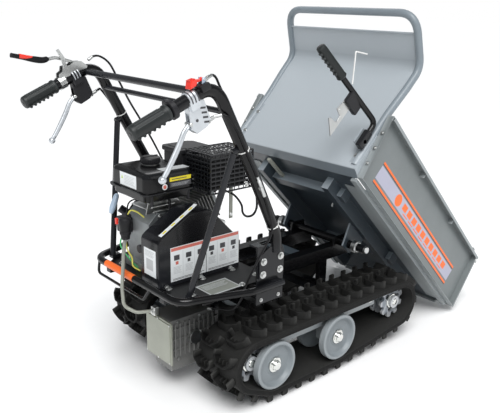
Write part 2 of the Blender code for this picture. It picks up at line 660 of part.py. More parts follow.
def brace(name, side, root):
    """Thin tube from a saddle behind the handle down to the deck's edge."""
    top, bottom = (-153, side * 298, 800), (-240, side * 210, 378)
    lug = block((-246, side * 212 - 12, DECK_TOP + GAP), (-216, side * 212 + 12, 384))
    saddle = block((-158, side * 298 - 6, 786), (-132, side * 298 + 6, 808))
    make(name, [tube([top, bottom], 9.5, sides=8), lug, saddle], "black_paint", root,
         cuts=[handle_tube(side, HANDLE_RADIUS + GAP)])


def handle_axis(x, side=1.0):
    """The point on the axis of the handle's straight rear run at a given x."""
    start, end = Vector(HANDLE_PATH[0]), Vector(HANDLE_PATH[1])
    point = start.lerp(end, (x - start.x) / (end.x - start.x))
    return Vector((point.x, side * point.y, point.z))


def grip(name, side, root):
    """Rubber grip closed over the handle's end, with finger ridges below."""
    places = (-466, -462, -454, -370, -362)
    radii = [GRIP_RADIUS - 3, GRIP_RADIUS, GRIP_RADIUS - 0.5, GRIP_RADIUS - 0.5, GRIP_RADIUS + 1.5]
    body = tube([handle_axis(x, side) for x in places], 0, radii=radii, sides=12)
    ridges = []
    for index in range(4):
        x, y, z = handle_axis(-440 + index * 20, side)
        ridges.append(rod((x + 6, y - 8, z - GRIP_RADIUS + 2), (x + 6, y + 8, z - GRIP_RADIUS + 2), 4.5, sides=6))
    make(name, [body] + ridges, "rubber", root, cuts=[handle_tube(side, HANDLE_RADIUS + GAP)])


def saddle_outline(rear, front, side_of_tube, thickness):
    """An outline along the handle's axis, on its upper (1) or its lower (-1) side."""
    low, high = handle_axis(rear), handle_axis(front)
    return [(low.x, low.z + side_of_tube), (high.x, high.z + side_of_tube),
            (high.x - side_of_tube * 0.39 * thickness, high.z + side_of_tube * 0.92 * thickness),
            (low.x - side_of_tube * 0.39 * thickness, low.z + side_of_tube * 0.92 * thickness)]


def perch(name, side, finish, root):
    """Saddle below the handle, with a slotted housing that holds the steering lever."""
    y = side * 300.5
    saddle = prism(saddle_outline(-309, -284, -1, 24), y - 21, y + 21)
    body = prism([(-310, 944), (-300, 880), (-282, 868), (-250, 884), (-240, 902), (-262, 953), (-284, 956)],
                 y - 11.5, y + 11.5)
    mouth = prism([(-330, 905), (-300, 870), (-288, 876), (-288, 902), (-306, 920), (-330, 930)], y - 8, y + 8)
    barrel = rod((-250, y, 891), (-224, y, 903), 5, sides=8)
    make(name, [saddle, body, barrel], finish, root, cuts=[mouth, handle_tube(side, HANDLE_RADIUS + GAP)])


def steering_lever(name, side, root):
    """Curved bright lever with a ball end; squeezing it declutches that track."""
    y = side * 300.5
    pivot = axis_empty("axis_" + name, (-301, y, 893), root)
    path = smooth([(-300, y, 892), (-316, y, 874), (-330, y, 846), (-346, y, 818), (-366, y, 786), (-380, y, 766)])
    ball = turned([(0, -9), (7, -9), (10, 0), (7, 9), (0, 9)], (-382, y, 763), sides=10)
    make(name, [tube(path, 7.2, sides=8), ball], "aluminium", pivot)


def clutch_control(root):
    """Slotted bracket on the left handle, and the red-gripped clutch lever hinged on it."""
    y = 300.0
    collar = rod(handle_axis(-350), handle_axis(-330), HANDLE_RADIUS + 4)
    low, high = saddle_outline(-350, -262, 1, 16)[:2]
    cheeks = prism([low, high, (-256, 985), (-276, 1000), (-300, 1000), (-350, 964)], y - 13, y + 13)
    stand = prism([(-342, 955), (-318, 963), (-312, 990), (-336, 986)], y - 13, y + 13)
    slot = prism([(-380, 925), (-250, 970), (-250, 1010), (-380, 1010)], y - 9, y + 9)
    catch = prism([(-334, 975), (-322, 975), (-330, 1012), (-348, 1038), (-356, 1034), (-342, 1010)], y - 13, y - 9)
    make("clutch_bracket", [collar, cheeks, stand, catch], "zinc", root,
         cuts=[slot, handle_tube(1.0, HANDLE_RADIUS + GAP)])
    pivot = axis_empty("axis_clutch_lever", (-288, y, 993), root)
    path = [(-278, y, 993), (-290, y, 994), (-318, y, 1003), (-352, y, 1012), (-378, y, 1009), (-382, y, 1009),
            (-400, y, 1007), (-440, y, 1014), (-492, y, 1025)]
    make("clutch_lever", [tube(path, 0, radii=[5.5] * 5 + [10, 9, 7.5, 7], sides=8)], "red_plastic", pivot)


def throttle_control(root):
    """Dark housing on top of the right handle, with a red thumb lever between two ears."""
    y = -302.0
    pivot = (-262.0, y, 1001.0)
    body = prism(saddle_outline(-272, -244, 1, 21), y - 21, y + 13)
    ears = [block((-267, y + low, 985), (-257, y + low + 3, 1006)) for low in (-9, 6)]
    make("throttle_housing", [body] + ears, "black_plastic", root, cuts=[handle_tube(-1.0, HANDLE_RADIUS + GAP)])
    axis = axis_empty("axis_throttle_lever", pivot, root)
    hub = turned([(0, -5.5), (5, -5.5), (5, 5.5), (0, 5.5)], pivot, sides=10)
    knob = prism([(-305, 978), (-286, 987), (-283, 996), (-288, 1003), (-302, 999)], y - 12, y + 12)
    stem = prism([(-290, 991), (-262, 998), (-262, 1003), (-290, 1000)], y - 4, y + 4)
    make("throttle_lever", [hub, stem, knob], "red_plastic", axis)


STEERING_ROUTE = [(-223, 300.5, 904.5), (-212, 305, 908), (-202, 316, 908), (-190, 324, 900), (-160, 324, 860),
                  (-128, 324, 800), (-92, 322.5, 735), (-56, 318, 665), (-28, 313, 600), (-20, 310, 550),
                  (-58, 302, 480), (-66, 280, 430), (-72, 262, 385), (-80, 252, 340), (-90, 225, 300),
                  (-100, 170, 286), (-106, 125, 270)]
CABLE_ROUTES = {
    "steering_cable_right": [(x, -y, z) for x, y, z in STEERING_ROUTE],
    "steering_cable_left": STEERING_ROUTE,
    "clutch_cable": [(-252, 289, 1002), (-236, 290, 1012), (-212, 288, 1012), (-185, 278, 990), (-158, 275, 940),
                     (-120, 274, 868), (-80, 270, 800), (-40, 255, 720), (0, 232, 620), (25, 190, 520),
                     (42, 110, 440), (36, 40, 410), (30, 0, 404), (22, -29, 403)],
    "throttle_cable": [(-244, -298, 1002), (-224, -292, 1008), (-204, -284, 1000), (-188, -279, 978),
                       (-168, -278, 944), (-146, -279, 900), (-118, -279, 848), (-90, -279, 796),
                       (-72, -278, 738), (-60, -275, 690), (-48, -268, 645), (-42, -250, 606),
                       (-30, -215, 580), (0, -165, 574), (30, -120, 582), (44, -66, 598),
                       (40, -20, 604), (34, 20, 606), (26, 50, 607), (18, 80, 607), (12, 96, 604)],
}


def cables(root):
    for name, route in CABLE_ROUTES.items():
        make(name, [tube(smooth(route, 16), CABLE_RADIUS, sides=6)], "rubber", root)


# ---------------------------------------------------------------- box

def box_floor(box):
    """Floor sheet with thicker side edges, ribs below and ears round the pivot shaft."""
    front = BED_REAR + BED_LENGTH
    solids = [block((BED_REAR, -FLOOR_HALF, BED_Z), (front, FLOOR_HALF, BED_Z + 3))]
    for side in (-1, 1):
        edge = sorted((side * FLOOR_HALF, side * (FLOOR_HALF - 5)))
        solids.append(block((BED_REAR, edge[0], BED_Z), (front - 4, edge[1], BED_Z + 8)))
        rail = sorted((side * 145, side * 175))
        solids.append(block((BED_REAR + 40, rail[0], BED_Z - 46), (front - 120, rail[1], BED_Z + 1)))
        ear = prism([(PIVOT[0] - 60, BED_Z - 40), (PIVOT[0] + 60, BED_Z - 40), (PIVOT[0] + 26, PIVOT[1] - 24),
                     (PIVOT[0] - 26, PIVOT[1] - 24)], *sorted((side * 148, side * 156)))
        solids.append(ear)
    for x in (BED_REAR + 95, BED_REAR + 520):
        solids.append(block((x, -195, BED_Z - 34), (x + 40, 195, BED_Z + 1)))
    bore = turned([(0, -190), (PIVOT_RADIUS + GAP, -190), (PIVOT_RADIUS + GAP, 190), (0, 190)],
                  (PIVOT[0], 0, PIVOT[1]), sides=20)
    make("box_floor", solids, "grey_paint", box, cuts=[bore])


def bent_sheet(edges):
    """A sheet lofted through (x, z, half width) edges, SHEET thick towards the operator."""
    points = []
    for x, z, half in edges:
        points += [(x, -half, z), (x, half, z), (x - SHEET, half, z + 0.6), (x - SHEET, -half, z + 0.6)]
    last = 4 * (len(edges) - 1)
    faces = [(0, 1, 2, 3), (last + 3, last + 2, last + 1, last)]
    for start in range(0, last, 4):
        faces += [(start + i, start + (i + 1) % 4, start + 4 + (i + 1) % 4, start + 4 + i) for i in range(4)]
    return skin(points, faces)


def rear_panel(box):
    """Tall panel on the operator's side, bent back at the top, with a tube loop round its edge."""
    foot = BED_REAR - PANEL_BACK
    bend_z = BED_Z + PANEL_HEIGHT
    lean = math.radians(PANEL_BEND)
    back, up = -math.sin(lean), math.cos(lean)
    path = []
    for side in (-1, 1):
        leg = [(foot + 3, side * 285, BED_Z + 27), (foot + 3, side * 285, BED_Z + 240),
               (foot + 2, side * 295, BED_Z + 350), (foot + 1, side * 298, bend_z),
               (foot + 1 + back * LOOP_LENGTH, side * 293, bend_z + up * LOOP_LENGTH)]
        path += leg if side < 0 else leg[::-1]
    loop = tube(path, LOOP_RADIUS, bend=70, sides=8)
    reach = 112.0
    sheet = bent_sheet([(BED_REAR - GAP, BED_Z, 268), (foot, BED_Z + 11, 270), (foot, BED_Z + 230, 276),
                        (foot, bend_z - 18, 288), (foot - 8, bend_z, 290), (foot + back * reach, bend_z + up * reach, 284)])
    ear = block((foot - 44, -271, BED_Z + 84), (foot - 1, -265, BED_Z + 142))
    make("rear_panel", [sheet, loop, ear], "grey_paint", box,
         cuts=[rod((LEVER_PIVOT[0], -280, LEVER_PIVOT[1]), (LEVER_PIVOT[0], -255, LEVER_PIVOT[1]), 5.5)])


def side_panel(name, side, box):
    """Pressed side: a sheet with its flanges turned outwards, and a slide flange under the floor."""
    slide = axis_empty("axis_" + name, (BED_REAR + BED_LENGTH / 2, side * SIDE_Y, BED_Z), box)
    front = BED_REAR + BED_LENGTH
    low, high = BED_Z - 0.5, BED_Z + SIDE_HEIGHT
    inner, outer = SIDE_Y - SHEET / 2, SIDE_Y + SHEET / 2
    edge = outer + SIDE_FLANGE
    rear = [BED_REAR - reach for reach in SIDE_REAR]
    corners = [(rear[0], low), (front, low), (front - FRONT_LEAN, high), (rear[1], high)]
    inset = [(rear[0] + 2.2, low + 2.5), (front - 2.8, low + 2.5), (front - FRONT_LEAN - 2.2, high - 4),
             (rear[1] + 2.8, high - 4)]
    pan = prism(corners, inner, edge)
    hollow = prism(inset, outer, edge + 5)
    lip = block((rear[1] + 1, edge - 1, high - 16), (front - FRONT_LEAN - 1, edge + 2, high))
    tabs = [block((x, outer - 1, high - 34), (x + 4, outer + 16, high - 3))
            for x in (BED_REAR + 0.27 * BED_LENGTH, BED_REAR + 0.74 * BED_LENGTH)]
    under = block((BED_REAR + 60, 212, BED_Z - 3.2), (front - 30, outer, BED_Z - GAP))
    latch_x, latch_z = front - FRONT_LEAN - LATCH_BACK, high + LATCH_RISE
    ear = block((latch_x - 9, SIDE_Y + 5, high - 3), (latch_x + 9, SIDE_Y + 10, latch_z + 8))
    bore = rod((latch_x, SIDE_Y, latch_z), (latch_x, SIDE_Y + 20, latch_z), 5.5, sides=8)
    web = block((BED_REAR + 60, inner, BED_Z - 3.2), (front - 30, outer, BED_Z + 5))
    make(name, [pan, lip, under, web, ear] + tabs, "grey_paint", slide, cuts=[hollow, bore], side=side)


def front_gate(box):
    """Drop gate hinged along its lower edge, a pan with its flanges turned forward."""
    front = BED_REAR + BED_LENGTH + GAP + 0.2
    hinge = (front + 8, BED_Z - 4)
    axis = axis_empty("axis_front_gate", (hinge[0], 0, hinge[1]), box)
    lean = -FRONT_LEAN / SIDE_HEIGHT
    low, high = BED_Z + 3, BED_Z + GATE_HEIGHT

    def slanted(x, z):
        return (x + lean * (z - BED_Z), z)
    outline = [slanted(front, low), slanted(front + GATE_DEPTH, low), slanted(front + GATE_DEPTH, high),
               slanted(front, high)]
    inset = [slanted(front + SHEET, low + SHEET), slanted(front + GATE_DEPTH + 5, low + SHEET),
             slanted(front + GATE_DEPTH + 5, high - SHEET), slanted(front + SHEET, high - SHEET)]
    half = 318.0
    barrel = rod((hinge[0], -240, hinge[1]), (hinge[0], 240, hinge[1]), 6, sides=12)
    knuckles = [block((hinge[0] - 5, y - 20, hinge[1]), (hinge[0] + 5, y + 20, low + 2)) for y in (-200, 0, 200)]
    make("front_gate", [prism(outline, -half, half), barrel] + knuckles, "grey_paint", axis,
         cuts=[prism(inset, -half + SHEET, half - SHEET)])


def gate_latch(name, side, box, panel_axis):
    """Toggle on a side panel's front corner; its tab reaches over the gate's top edge."""
    front = BED_REAR + BED_LENGTH - FRONT_LEAN
    top = BED_Z + SIDE_HEIGHT
    place = (front - LATCH_BACK, side * SIDE_Y, top + LATCH_RISE)
    axis = axis_empty("axis_" + name, place, panel_axis)
    y = SIDE_Y - 8
    eye = rod((place[0], y - 12, place[2]), (place[0], y + 12, place[2]), 7)
    pin = rod((place[0], y, place[2]), (place[0], y + 21, place[2]), 5, sides=8)
    strap = block((place[0], y - 7, place[2] - 4), (front + 22, y + 7, place[2] + 4))
    tab = prism([(front + 16, place[2] - 3), (front + 56, place[2] - 16), (front + 58, place[2] - 10),
                 (front + 20, place[2] + 4)], y - 10, y + 10)
    make(name, [eye, pin, strap, tab], "zinc", axis, side=side)


def dump_lever(box):
    """Black lever on the rear panel with its grip, a block and the hook that holds the box down."""
    x0, z0 = LEVER_PIVOT
    axis = axis_empty("axis_dump_lever", (x0, -286, z0), box)
    end = Vector((x0 - 314, -226, z0 + 100))
    bend = Vector((x0 + 4, -286, z0 + 79))
    bar = tube([(x0, -286, z0 - 15), bend, end], 9.5, bend=26)
    pin = rod((x0, -286, z0), (x0, -262, z0), 5, sides=8)
    along_bar = (bend - end).normalized()
    body = tube([end + along_bar * step for step in (-4, 0, 8, 118, 124)], 0, radii=[12, 16, 15.5, 15.5, 17], sides=12)
    ridges = []
    for index in range(5):
        x, y, z = end + along_bar * (18 + index * 20)
        ridges.append(rod((x, y - 7, z - 14), (x, y + 7, z - 14), 4.5, sides=6))
    housing = block((x0 - 141, -272, z0 + 41), (x0 - 73, -254, z0 + 84))
    hook = [(-141, 45), (-104, 45), (-106, -28), (-107, -70), (-156, -37), (-150, -30), (-128, -28), (-120, -20),
            (-122, 0), (-149, 5)]
    plate = prism([(x0 + x, z0 + z) for x, z in hook], -262, -258)
    make("dump_lever", [bar, pin, body, housing, plate] + ridges, "black_paint", axis)


def dump_box(root):
    pivot = axis_empty("axis_dump_box", (PIVOT[0], 0, PIVOT[1]), root)
    box_floor(pivot)
    rear_panel(pivot)
    for name, side in SIDES.items():
        side_panel("side_panel_" + name, side, pivot)
        gate_latch("gate_latch_" + name, side, pivot, bpy.data.objects["axis_side_panel_" + name])
    front_gate(pivot)
    dump_lever(pivot)
    pivot.rotation_euler = (0, math.radians(DUMP_ANGLE), 0)


# ---------------------------------------------------------------- assembly

def centre_on_ground(root):
    """Put the origin below the middle of the whole machine, at ground level."""
    bpy.context.view_layer.update()
    corners = [item.matrix_world @ vertex.co for item in bpy.data.objects if item.type == "MESH"
               for vertex in item.data.vertices]
    low = [min(corner[axis] for corner in corners) for axis in range(3)]
    high = [max(corner[axis] for corner in corners) for axis in range(3)]
    root.location = (-(low[0] + high[0]) / 2, -(low[1] + high[1]) / 2, -low[2])
    bpy.context.view_layer.update()


def build():
    clear_scene()
    root = axis_empty("ground_frame", (0, 0, 0), None)
    undercarriage(root)
    chassis_frame(root)
    deck(root)
    bumper(root)
    gearbox(root)
    shift_lever(root)
    belt_drive(root)
    crankcase(root)
    cylinder(root)
    fuel_tank(root)
    air_cleaner(root)
    muffler(root)
    recoil_starter(root)
    engine_switch(root)
    belt_cover(root)
    handle_frame(root)
    for name, side in SIDES.items():
        brace("handle_brace_" + name, side, root)
        grip("handle_grip_" + name, side, root)
        perch("lever_perch_" + name, side, "aluminium" if side < 0 else "black_plastic", root)
        steering_lever("steering_lever_" + name, side, root)
    clutch_control(root)
    throttle_control(root)
    cables(root)
    dump_box(root)
    centre_on_ground(root)


build()
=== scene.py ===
"""Looks of the tracked power wheelbarrow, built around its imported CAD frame.

Places are given in millimetres in the drawing frame: +X forward, +Y to the operator's left, +Z up,
x = 0 at the rear road roller's axle. PLACE carries them into the frame's metres. What belongs to the
box is drawn level and carried by TIPPED, which also tips it about the dump pivot.
"""
import json
import math

import bmesh
import bpy
from mathutils import Matrix, Vector


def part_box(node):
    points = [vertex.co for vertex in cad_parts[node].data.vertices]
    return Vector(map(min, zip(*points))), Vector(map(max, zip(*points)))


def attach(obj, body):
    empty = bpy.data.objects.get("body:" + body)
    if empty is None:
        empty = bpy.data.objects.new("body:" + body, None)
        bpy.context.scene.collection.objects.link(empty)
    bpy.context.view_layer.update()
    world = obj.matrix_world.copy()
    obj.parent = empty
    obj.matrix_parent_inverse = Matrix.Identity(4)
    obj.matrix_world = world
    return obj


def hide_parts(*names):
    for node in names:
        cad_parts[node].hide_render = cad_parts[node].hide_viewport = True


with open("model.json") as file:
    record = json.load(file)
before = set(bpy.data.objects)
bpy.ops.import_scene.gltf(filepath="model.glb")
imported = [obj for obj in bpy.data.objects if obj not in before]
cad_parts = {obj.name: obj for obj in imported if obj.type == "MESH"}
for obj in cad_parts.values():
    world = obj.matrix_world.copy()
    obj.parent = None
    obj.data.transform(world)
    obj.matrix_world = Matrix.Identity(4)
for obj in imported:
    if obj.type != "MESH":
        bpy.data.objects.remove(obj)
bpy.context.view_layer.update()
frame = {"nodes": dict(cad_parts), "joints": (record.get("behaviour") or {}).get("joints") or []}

MM = 0.001
DECK_CORNER = Vector((-262, -232, 345))        # lowest corner of the engine deck in the drawing frame
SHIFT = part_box("engine_deck")[0] - DECK_CORNER * MM
PLACE = Matrix.Translation(SHIFT)
TIP = next(joint for joint in frame["joints"] if joint["name"] == "dump_box_tip")
TIP_AXIS = Matrix.Translation(Vector(TIP["pos_m"]))
TIP_TURN = Matrix.Rotation(math.radians(-TIP["range_deg"][0]), 4, "Y")
TIPPED = TIP_AXIS @ TIP_TURN @ TIP_AXIS.inverted() @ PLACE
LEVEL_TO_REST = PLACE.inverted() @ TIPPED
BOX_LIT = TIP_TURN @ Vector((-0.7, 0, 0.7))     # faces that look along this lit direction are grey; the box's other faces get the dark finish, painted shade
SIDES = {"left": 1, "right": -1}

# Tracks
ROLLERS = {"rear": (0, 125), "front": (286, 125)}
ROLLER_RADIUS = 78
SPROCKET = (-78, 148)
IDLER = (612, 148)
WHEELS = [(*SPROCKET, 66), (*IDLER, 66), (0, 125, 79), (286, 125, 79)]
BELT_EDGES = (149, 335)
BELT_THICK = 20
LUG_HEIGHT = 26
LUG_PITCH = 62.4
WHEEL_FACE = 333
TEETH = 9

# Handles
HANDLE_PATH = [(-458, 296, 888), (-222, 303, 987), (-90, 301, 742), (20, 286.5, 535), (24, 286.5, 480)]
HANDLE_RADIUS = 17
ACROSS_X, ACROSS_Z = -0.39, 0.92               # square to the handles' rear run, seen from the side
GRIP_RADIUS = 19.5
LEVER_Y = 300.5

# Deck and its rail
DECK_TOP = 370.3                               # just clear of the deck's sheet
RAIL_Z = 379

# Engine and its belt drive
CRANK = (-110, 481)
GEAR_SHAFT = (-75, 312)
PULLEY_Y = -52
TANK_BEND = 20
CAP_AT = (-160, 96)
CAP_RIBS = 28
PULLEY_RADIUS = {"engine": 42, "gearbox": 38}

# Box, level
BED_REAR = 197
BED_Z = 453
BED_LENGTH = 872
PANEL_X = 161
DUMP_PIVOT = (515, 350)
BEND_Z = 891
PANEL_LEAN = math.radians(58.5)
LOOP_LENGTH = 180
SHEET_LENGTH = 112
SIDE_TOP = 680
LEVER_PIVOT = (132, 553)

# Light
SKY_LIGHT = 0.34
SUN_LIGHT = 2.65
FLOOR_REACH = 40.0                             # metres

# Camera
CAMERA_AT = (-1281, -1642, 1190)
CAMERA_YAW = 48.52
CAMERA_PITCH = -17.0
CAMERA_ROLL = 1.08
FOCAL = 677.4                                  # in widths of the picture's 500 columns
COLUMNS = 500


# ---------------------------------------------------------------- materials

def node(tree, kind, **settings):
    made = tree.nodes.new(kind)
    for name, value in settings.items():
        if name in made.inputs:
            made.inputs[name].default_value = value
        else:
            setattr(made, name, value)
    return made


def finish(name, colour, roughness, metallic=0.0, grain=900.0, bump=0.02, spread=0.12, worn=None, coat=0.0,
           blotch=9.0, wear=(0.53, 0.60), specular=0.5):
    """A painted, cast or moulded surface: colour that drifts a little, roughness that follows a finer
    noise, a fine bump, and a worn colour along convex edges."""
    made = bpy.data.materials.new(name)
    made.use_nodes = True
    tree = made.node_tree
    shader = tree.nodes["Principled BSDF"]
    shader.inputs["Metallic"].default_value = metallic
    shader.inputs["Coat Weight"].default_value = coat
    shader.inputs["Specular IOR Level"].default_value = specular
    shader.inputs["Coat Roughness"].default_value = 0.08
    place = node(tree, "ShaderNodeTexCoord")
    drift = node(tree, "ShaderNodeTexNoise", Scale=blotch, Detail=5.0, Roughness=0.6)
    fine = node(tree, "ShaderNodeTexNoise", Scale=grain, Detail=4.0, Roughness=0.65)
    for noise in (drift, fine):
        tree.links.new(place.outputs["Object"], noise.inputs["Vector"])
    shades = node(tree, "ShaderNodeValToRGB")
    shades.color_ramp.elements[0].position = 0.3
    shades.color_ramp.elements[1].position = 0.7
    shades.color_ramp.elements[0].color = (*[c * (1 - spread) for c in colour], 1)
    shades.color_ramp.elements[1].color = (*[min(1, c * (1 + spread)) for c in colour], 1)
    tree.links.new(drift.outputs["Fac"], shades.inputs["Fac"])
    result = shades.outputs["Color"]
    if worn:
        shape = node(tree, "ShaderNodeNewGeometry")
        edge = node(tree, "ShaderNodeMapRange")
        edge.inputs["From Min"].default_value, edge.inputs["From Max"].default_value = wear
        tree.links.new(shape.outputs["Pointiness"], edge.inputs["Value"])
        mix = node(tree, "ShaderNodeMix", data_type="RGBA")
        tree.links.new(edge.outputs["Result"], mix.inputs["Factor"])
        tree.links.new(result, mix.inputs["A"])
        mix.inputs["B"].default_value = (*worn, 1)
        result = mix.outputs["Result"]
    tree.links.new(result, shader.inputs["Base Color"])
    gloss = node(tree, "ShaderNodeMapRange")
    gloss.inputs["To Min"].default_value = max(0.02, roughness - 0.07)
    gloss.inputs["To Max"].default_value = min(1.0, roughness + 0.09)
    tree.links.new(fine.outputs["Fac"], gloss.inputs["Value"])
    tree.links.new(gloss.outputs["Result"], shader.inputs["Roughness"])
    relief = node(tree, "ShaderNodeBump", Strength=bump, Distance=0.001)
    tree.links.new(fine.outputs["Fac"], relief.inputs["Height"])
    tree.links.new(relief.outputs["Normal"], shader.inputs["Normal"])
    return made


FINISHES = {
    "black_paint": finish("black_gloss", (0.003, 0.003, 0.0035), 0.22, grain=700, bump=0.04, coat=0.16,
                          specular=0.25, worn=(0.014, 0.015, 0.018)),
    "deck_paint": finish("deck_black", (0.003, 0.003, 0.0035), 0.34, grain=500, bump=0.08, coat=0.06,
                         specular=0.2),
    "grey_paint": finish("box_grey", (0.20, 0.235, 0.262), 0.42, bump=0.04, spread=0.05, coat=0.15,
                         worn=(0.40, 0.44, 0.47)),
    "side_paint": finish("side_grey", (0.175, 0.195, 0.198), 0.45, bump=0.05, spread=0.06, coat=0.1,
                         worn=(0.36, 0.39, 0.40)),
    "wheel_paint": finish("wheel_grey", (0.20, 0.225, 0.24), 0.42, grain=500, bump=0.1, spread=0.12,
                          worn=(0.42, 0.45, 0.46)),
    "sprocket_paint": finish("sprocket_grey", (0.30, 0.33, 0.37), 0.38, metallic=0.3, grain=400, bump=0.15,
                             worn=(0.6, 0.62, 0.64)),
    # dark blue-grey frame paint; also the painted shade on the box floor's faces turned away from the light
    "dark_frame": finish("dark_blue_grey", (0.035, 0.047, 0.058), 0.4, grain=500, bump=0.08, coat=0.1),
    "zinc": finish("bright_zinc", (0.60, 0.61, 0.60), 0.3, metallic=1.0, grain=500, bump=0.1, spread=0.15),
    "chrome": finish("polished_cap", (0.78, 0.79, 0.76), 0.14, metallic=1.0, grain=600, spread=0.05),
    "olive_zinc": finish("olive_plate", (0.20, 0.215, 0.17), 0.42, metallic=0.35, grain=260, bump=0.12,
                         spread=0.22, blotch=14, worn=(0.5, 0.51, 0.45)),
    "aluminium": finish("cast_bright", (0.62, 0.65, 0.68), 0.36, metallic=0.7, grain=420, bump=0.25,
                        spread=0.1),
    "cast_alloy": finish("cast_grey", (0.055, 0.057, 0.055), 0.46, metallic=0.4, grain=420, bump=0.5,
                         spread=0.4, blotch=25, worn=(0.32, 0.32, 0.31)),
    "case_alloy": finish("cast_silver", (0.30, 0.32, 0.33), 0.45, metallic=0.6, grain=420, bump=0.4,
                         spread=0.15, blotch=20),
    "fin_alloy": finish("fin_grey", (0.07, 0.073, 0.075), 0.4, metallic=0.6, grain=420, bump=0.3,
                        worn=(0.7, 0.7, 0.68)),
    "black_plastic": finish("black_mould", (0.005, 0.005, 0.006), 0.4, bump=0.2, specular=0.3,
                            worn=(0.022, 0.022, 0.025)),
    "grip_rubber": finish("grip_rubber_black", (0.011, 0.014, 0.014), 0.42, grain=1200, bump=0.3,
                          specular=0.4, worn=(0.05, 0.056, 0.056)),
    "track_rubber": finish("track_rubber_black", (0.0035, 0.0035, 0.0035), 0.6, grain=500, bump=0.5,
                           spread=0.35, blotch=30, worn=(0.05, 0.05, 0.048), wear=(0.54, 0.62),
                           specular=0.12),
    "cable_sheath": finish("cable_black", (0.004, 0.004, 0.005), 0.42, grain=1500, bump=0.3, specular=0.3),
    "red_plastic": finish("red_mould", (0.80, 0.035, 0.018), 0.3, bump=0.05, spread=0.08, coat=0.3),
    "grey_plastic": finish("pale_blue_mould", (0.42, 0.53, 0.66), 0.32, bump=0.05, coat=0.2),
    "white_plastic": finish("white_mould", (0.82, 0.82, 0.80), 0.4, bump=0.1, spread=0.04),
    "yellow_plastic": finish("yellow_mould", (0.72, 0.68, 0.12), 0.4, bump=0.1),
    "green_plastic": finish("green_mould", (0.05, 0.40, 0.14), 0.4, bump=0.1),
    "strap_olive": finish("olive_strap", (0.30, 0.31, 0.27), 0.45, metallic=0.3, grain=300, bump=0.1),
    "plate_olive": finish("plate_olive", (0.20, 0.215, 0.19), 0.45, grain=500, bump=0.05),
}
for name, colour, roughness, spread in (
        ("white", (0.80, 0.83, 0.84), 0.35, 0.03), ("red", (0.62, 0.16, 0.12), 0.35, 0.05),
        ("ink", (0.05, 0.05, 0.055), 0.4, 0.12), ("grey", (0.48, 0.50, 0.51), 0.4, 0.12),
        ("yellow", (0.80, 0.66, 0.02), 0.35, 0.05), ("green", (0.50, 0.66, 0.10), 0.35, 0.12),
        ("orange", (0.90, 0.16, 0.02), 0.35, 0.04), ("lavender", (0.42, 0.42, 0.52), 0.4, 0.04)):
    FINISHES["label_" + name] = finish("label_" + name, colour, roughness, spread=spread)


# ---------------------------------------------------------------- shapes, in millimetres

def skin(points, faces):
    """A mesh in metres from points in millimetres."""
    mesh = bmesh.new()
    made = [mesh.verts.new(Vector(point) * MM) for point in points]
    for face in faces:
        mesh.faces.new([made[index] for index in face])
    bmesh.ops.recalc_face_normals(mesh, faces=mesh.faces)
    return mesh


def soft(mesh, width, segments=2, angle=28):
    """The same mesh with its sharp edges rounded."""
    bmesh.ops.recalc_face_normals(mesh, faces=mesh.faces)
    sharp = [e for e in mesh.edges if e.is_manifold and e.calc_face_angle(0) > math.radians(angle)]
    bmesh.ops.bevel(mesh, geom=sharp, offset=width * MM, offset_type="OFFSET", segments=segments, profile=0.5,
                    affect="EDGES", clamp_overlap=True)
    return mesh


def block(low, high, edge=0.0):
    low, high = [min(a, b) for a, b in zip(low, high)], [max(a, b) for a, b in zip(low, high)]
    points = [(x, y, z) for x in (low[0], high[0]) for y in (low[1], high[1]) for z in (low[2], high[2])]
    mesh = skin(points, [(0, 1, 3, 2), (4, 6, 7, 5), (0, 4, 5, 1), (2, 3, 7, 6), (0, 2, 6, 4), (1, 5, 7, 3)])
    return soft(mesh, edge) if edge else mesh


def along_axis(first, second, height, axis):
    """A point from its place along an axis and its two other coordinates."""
    return {"y": (first, height, second), "x": (height, first, second), "z": (first, second, height)}[axis]


def prism(outline, start, end, axis="y", edge=0.0):
    """A solid with one outline, from start to end along an axis."""
    mesh = rings_to_mesh([[along_axis(*point, height, axis) for point in outline] for height in (start, end)])
    return soft(mesh, edge) if edge else mesh


def rings_to_mesh(rings):
    """A closed skin over rings of points, with a flat face at each end."""
    sides = len(rings[0])
    points = [point for ring in rings for point in ring]
    last = (len(rings) - 1) * sides
    faces = [tuple(range(sides)), tuple(range(last + sides - 1, last - 1, -1))]
    for ring in range(len(rings) - 1):
        for step in range(sides):
            a, b = ring * sides + step, ring * sides + (step + 1) % sides
            faces.append((a, b, b + sides, a + sides))
    return skin(points, faces)


def turned(profile, centre, axis="y", sides=48):
    """A solid of revolution; the profile is (radius, position along the axis)."""
    angles = [2 * math.pi * step / sides for step in range(sides)]
    rings = []
    for radius, place in profile:
        ring = [along_axis(radius * math.cos(a), radius * math.sin(a), place, axis) for a in angles]
        rings.append([tuple(c + o for c, o in zip(centre, point)) for point in ring])
    return rings_to_mesh(rings)


def rounded(points, bend, steps=8):
    """The polyline with each corner replaced by an arc of about the given radius."""
    path = [Vector(points[0])]
    for before, corner, after in zip(points, points[1:], points[2:]):
        before, corner, after = Vector(before), Vector(corner), Vector(after)
        back, ahead = (before - corner), (after - corner)
        reach = bend * math.tan((math.pi - back.angle(ahead)) / 2)
        reach = min(reach, 0.45 * back.length, 0.45 * ahead.length)
        enter, leave = corner + back.normalized() * reach, corner + ahead.normalized() * reach
        for step in range(steps + 1):
            t = step / steps
            path.append((1 - t) ** 2 * enter + 2 * t * (1 - t) * corner + t * t * leave)
    path.append(Vector(points[-1]))
    return path


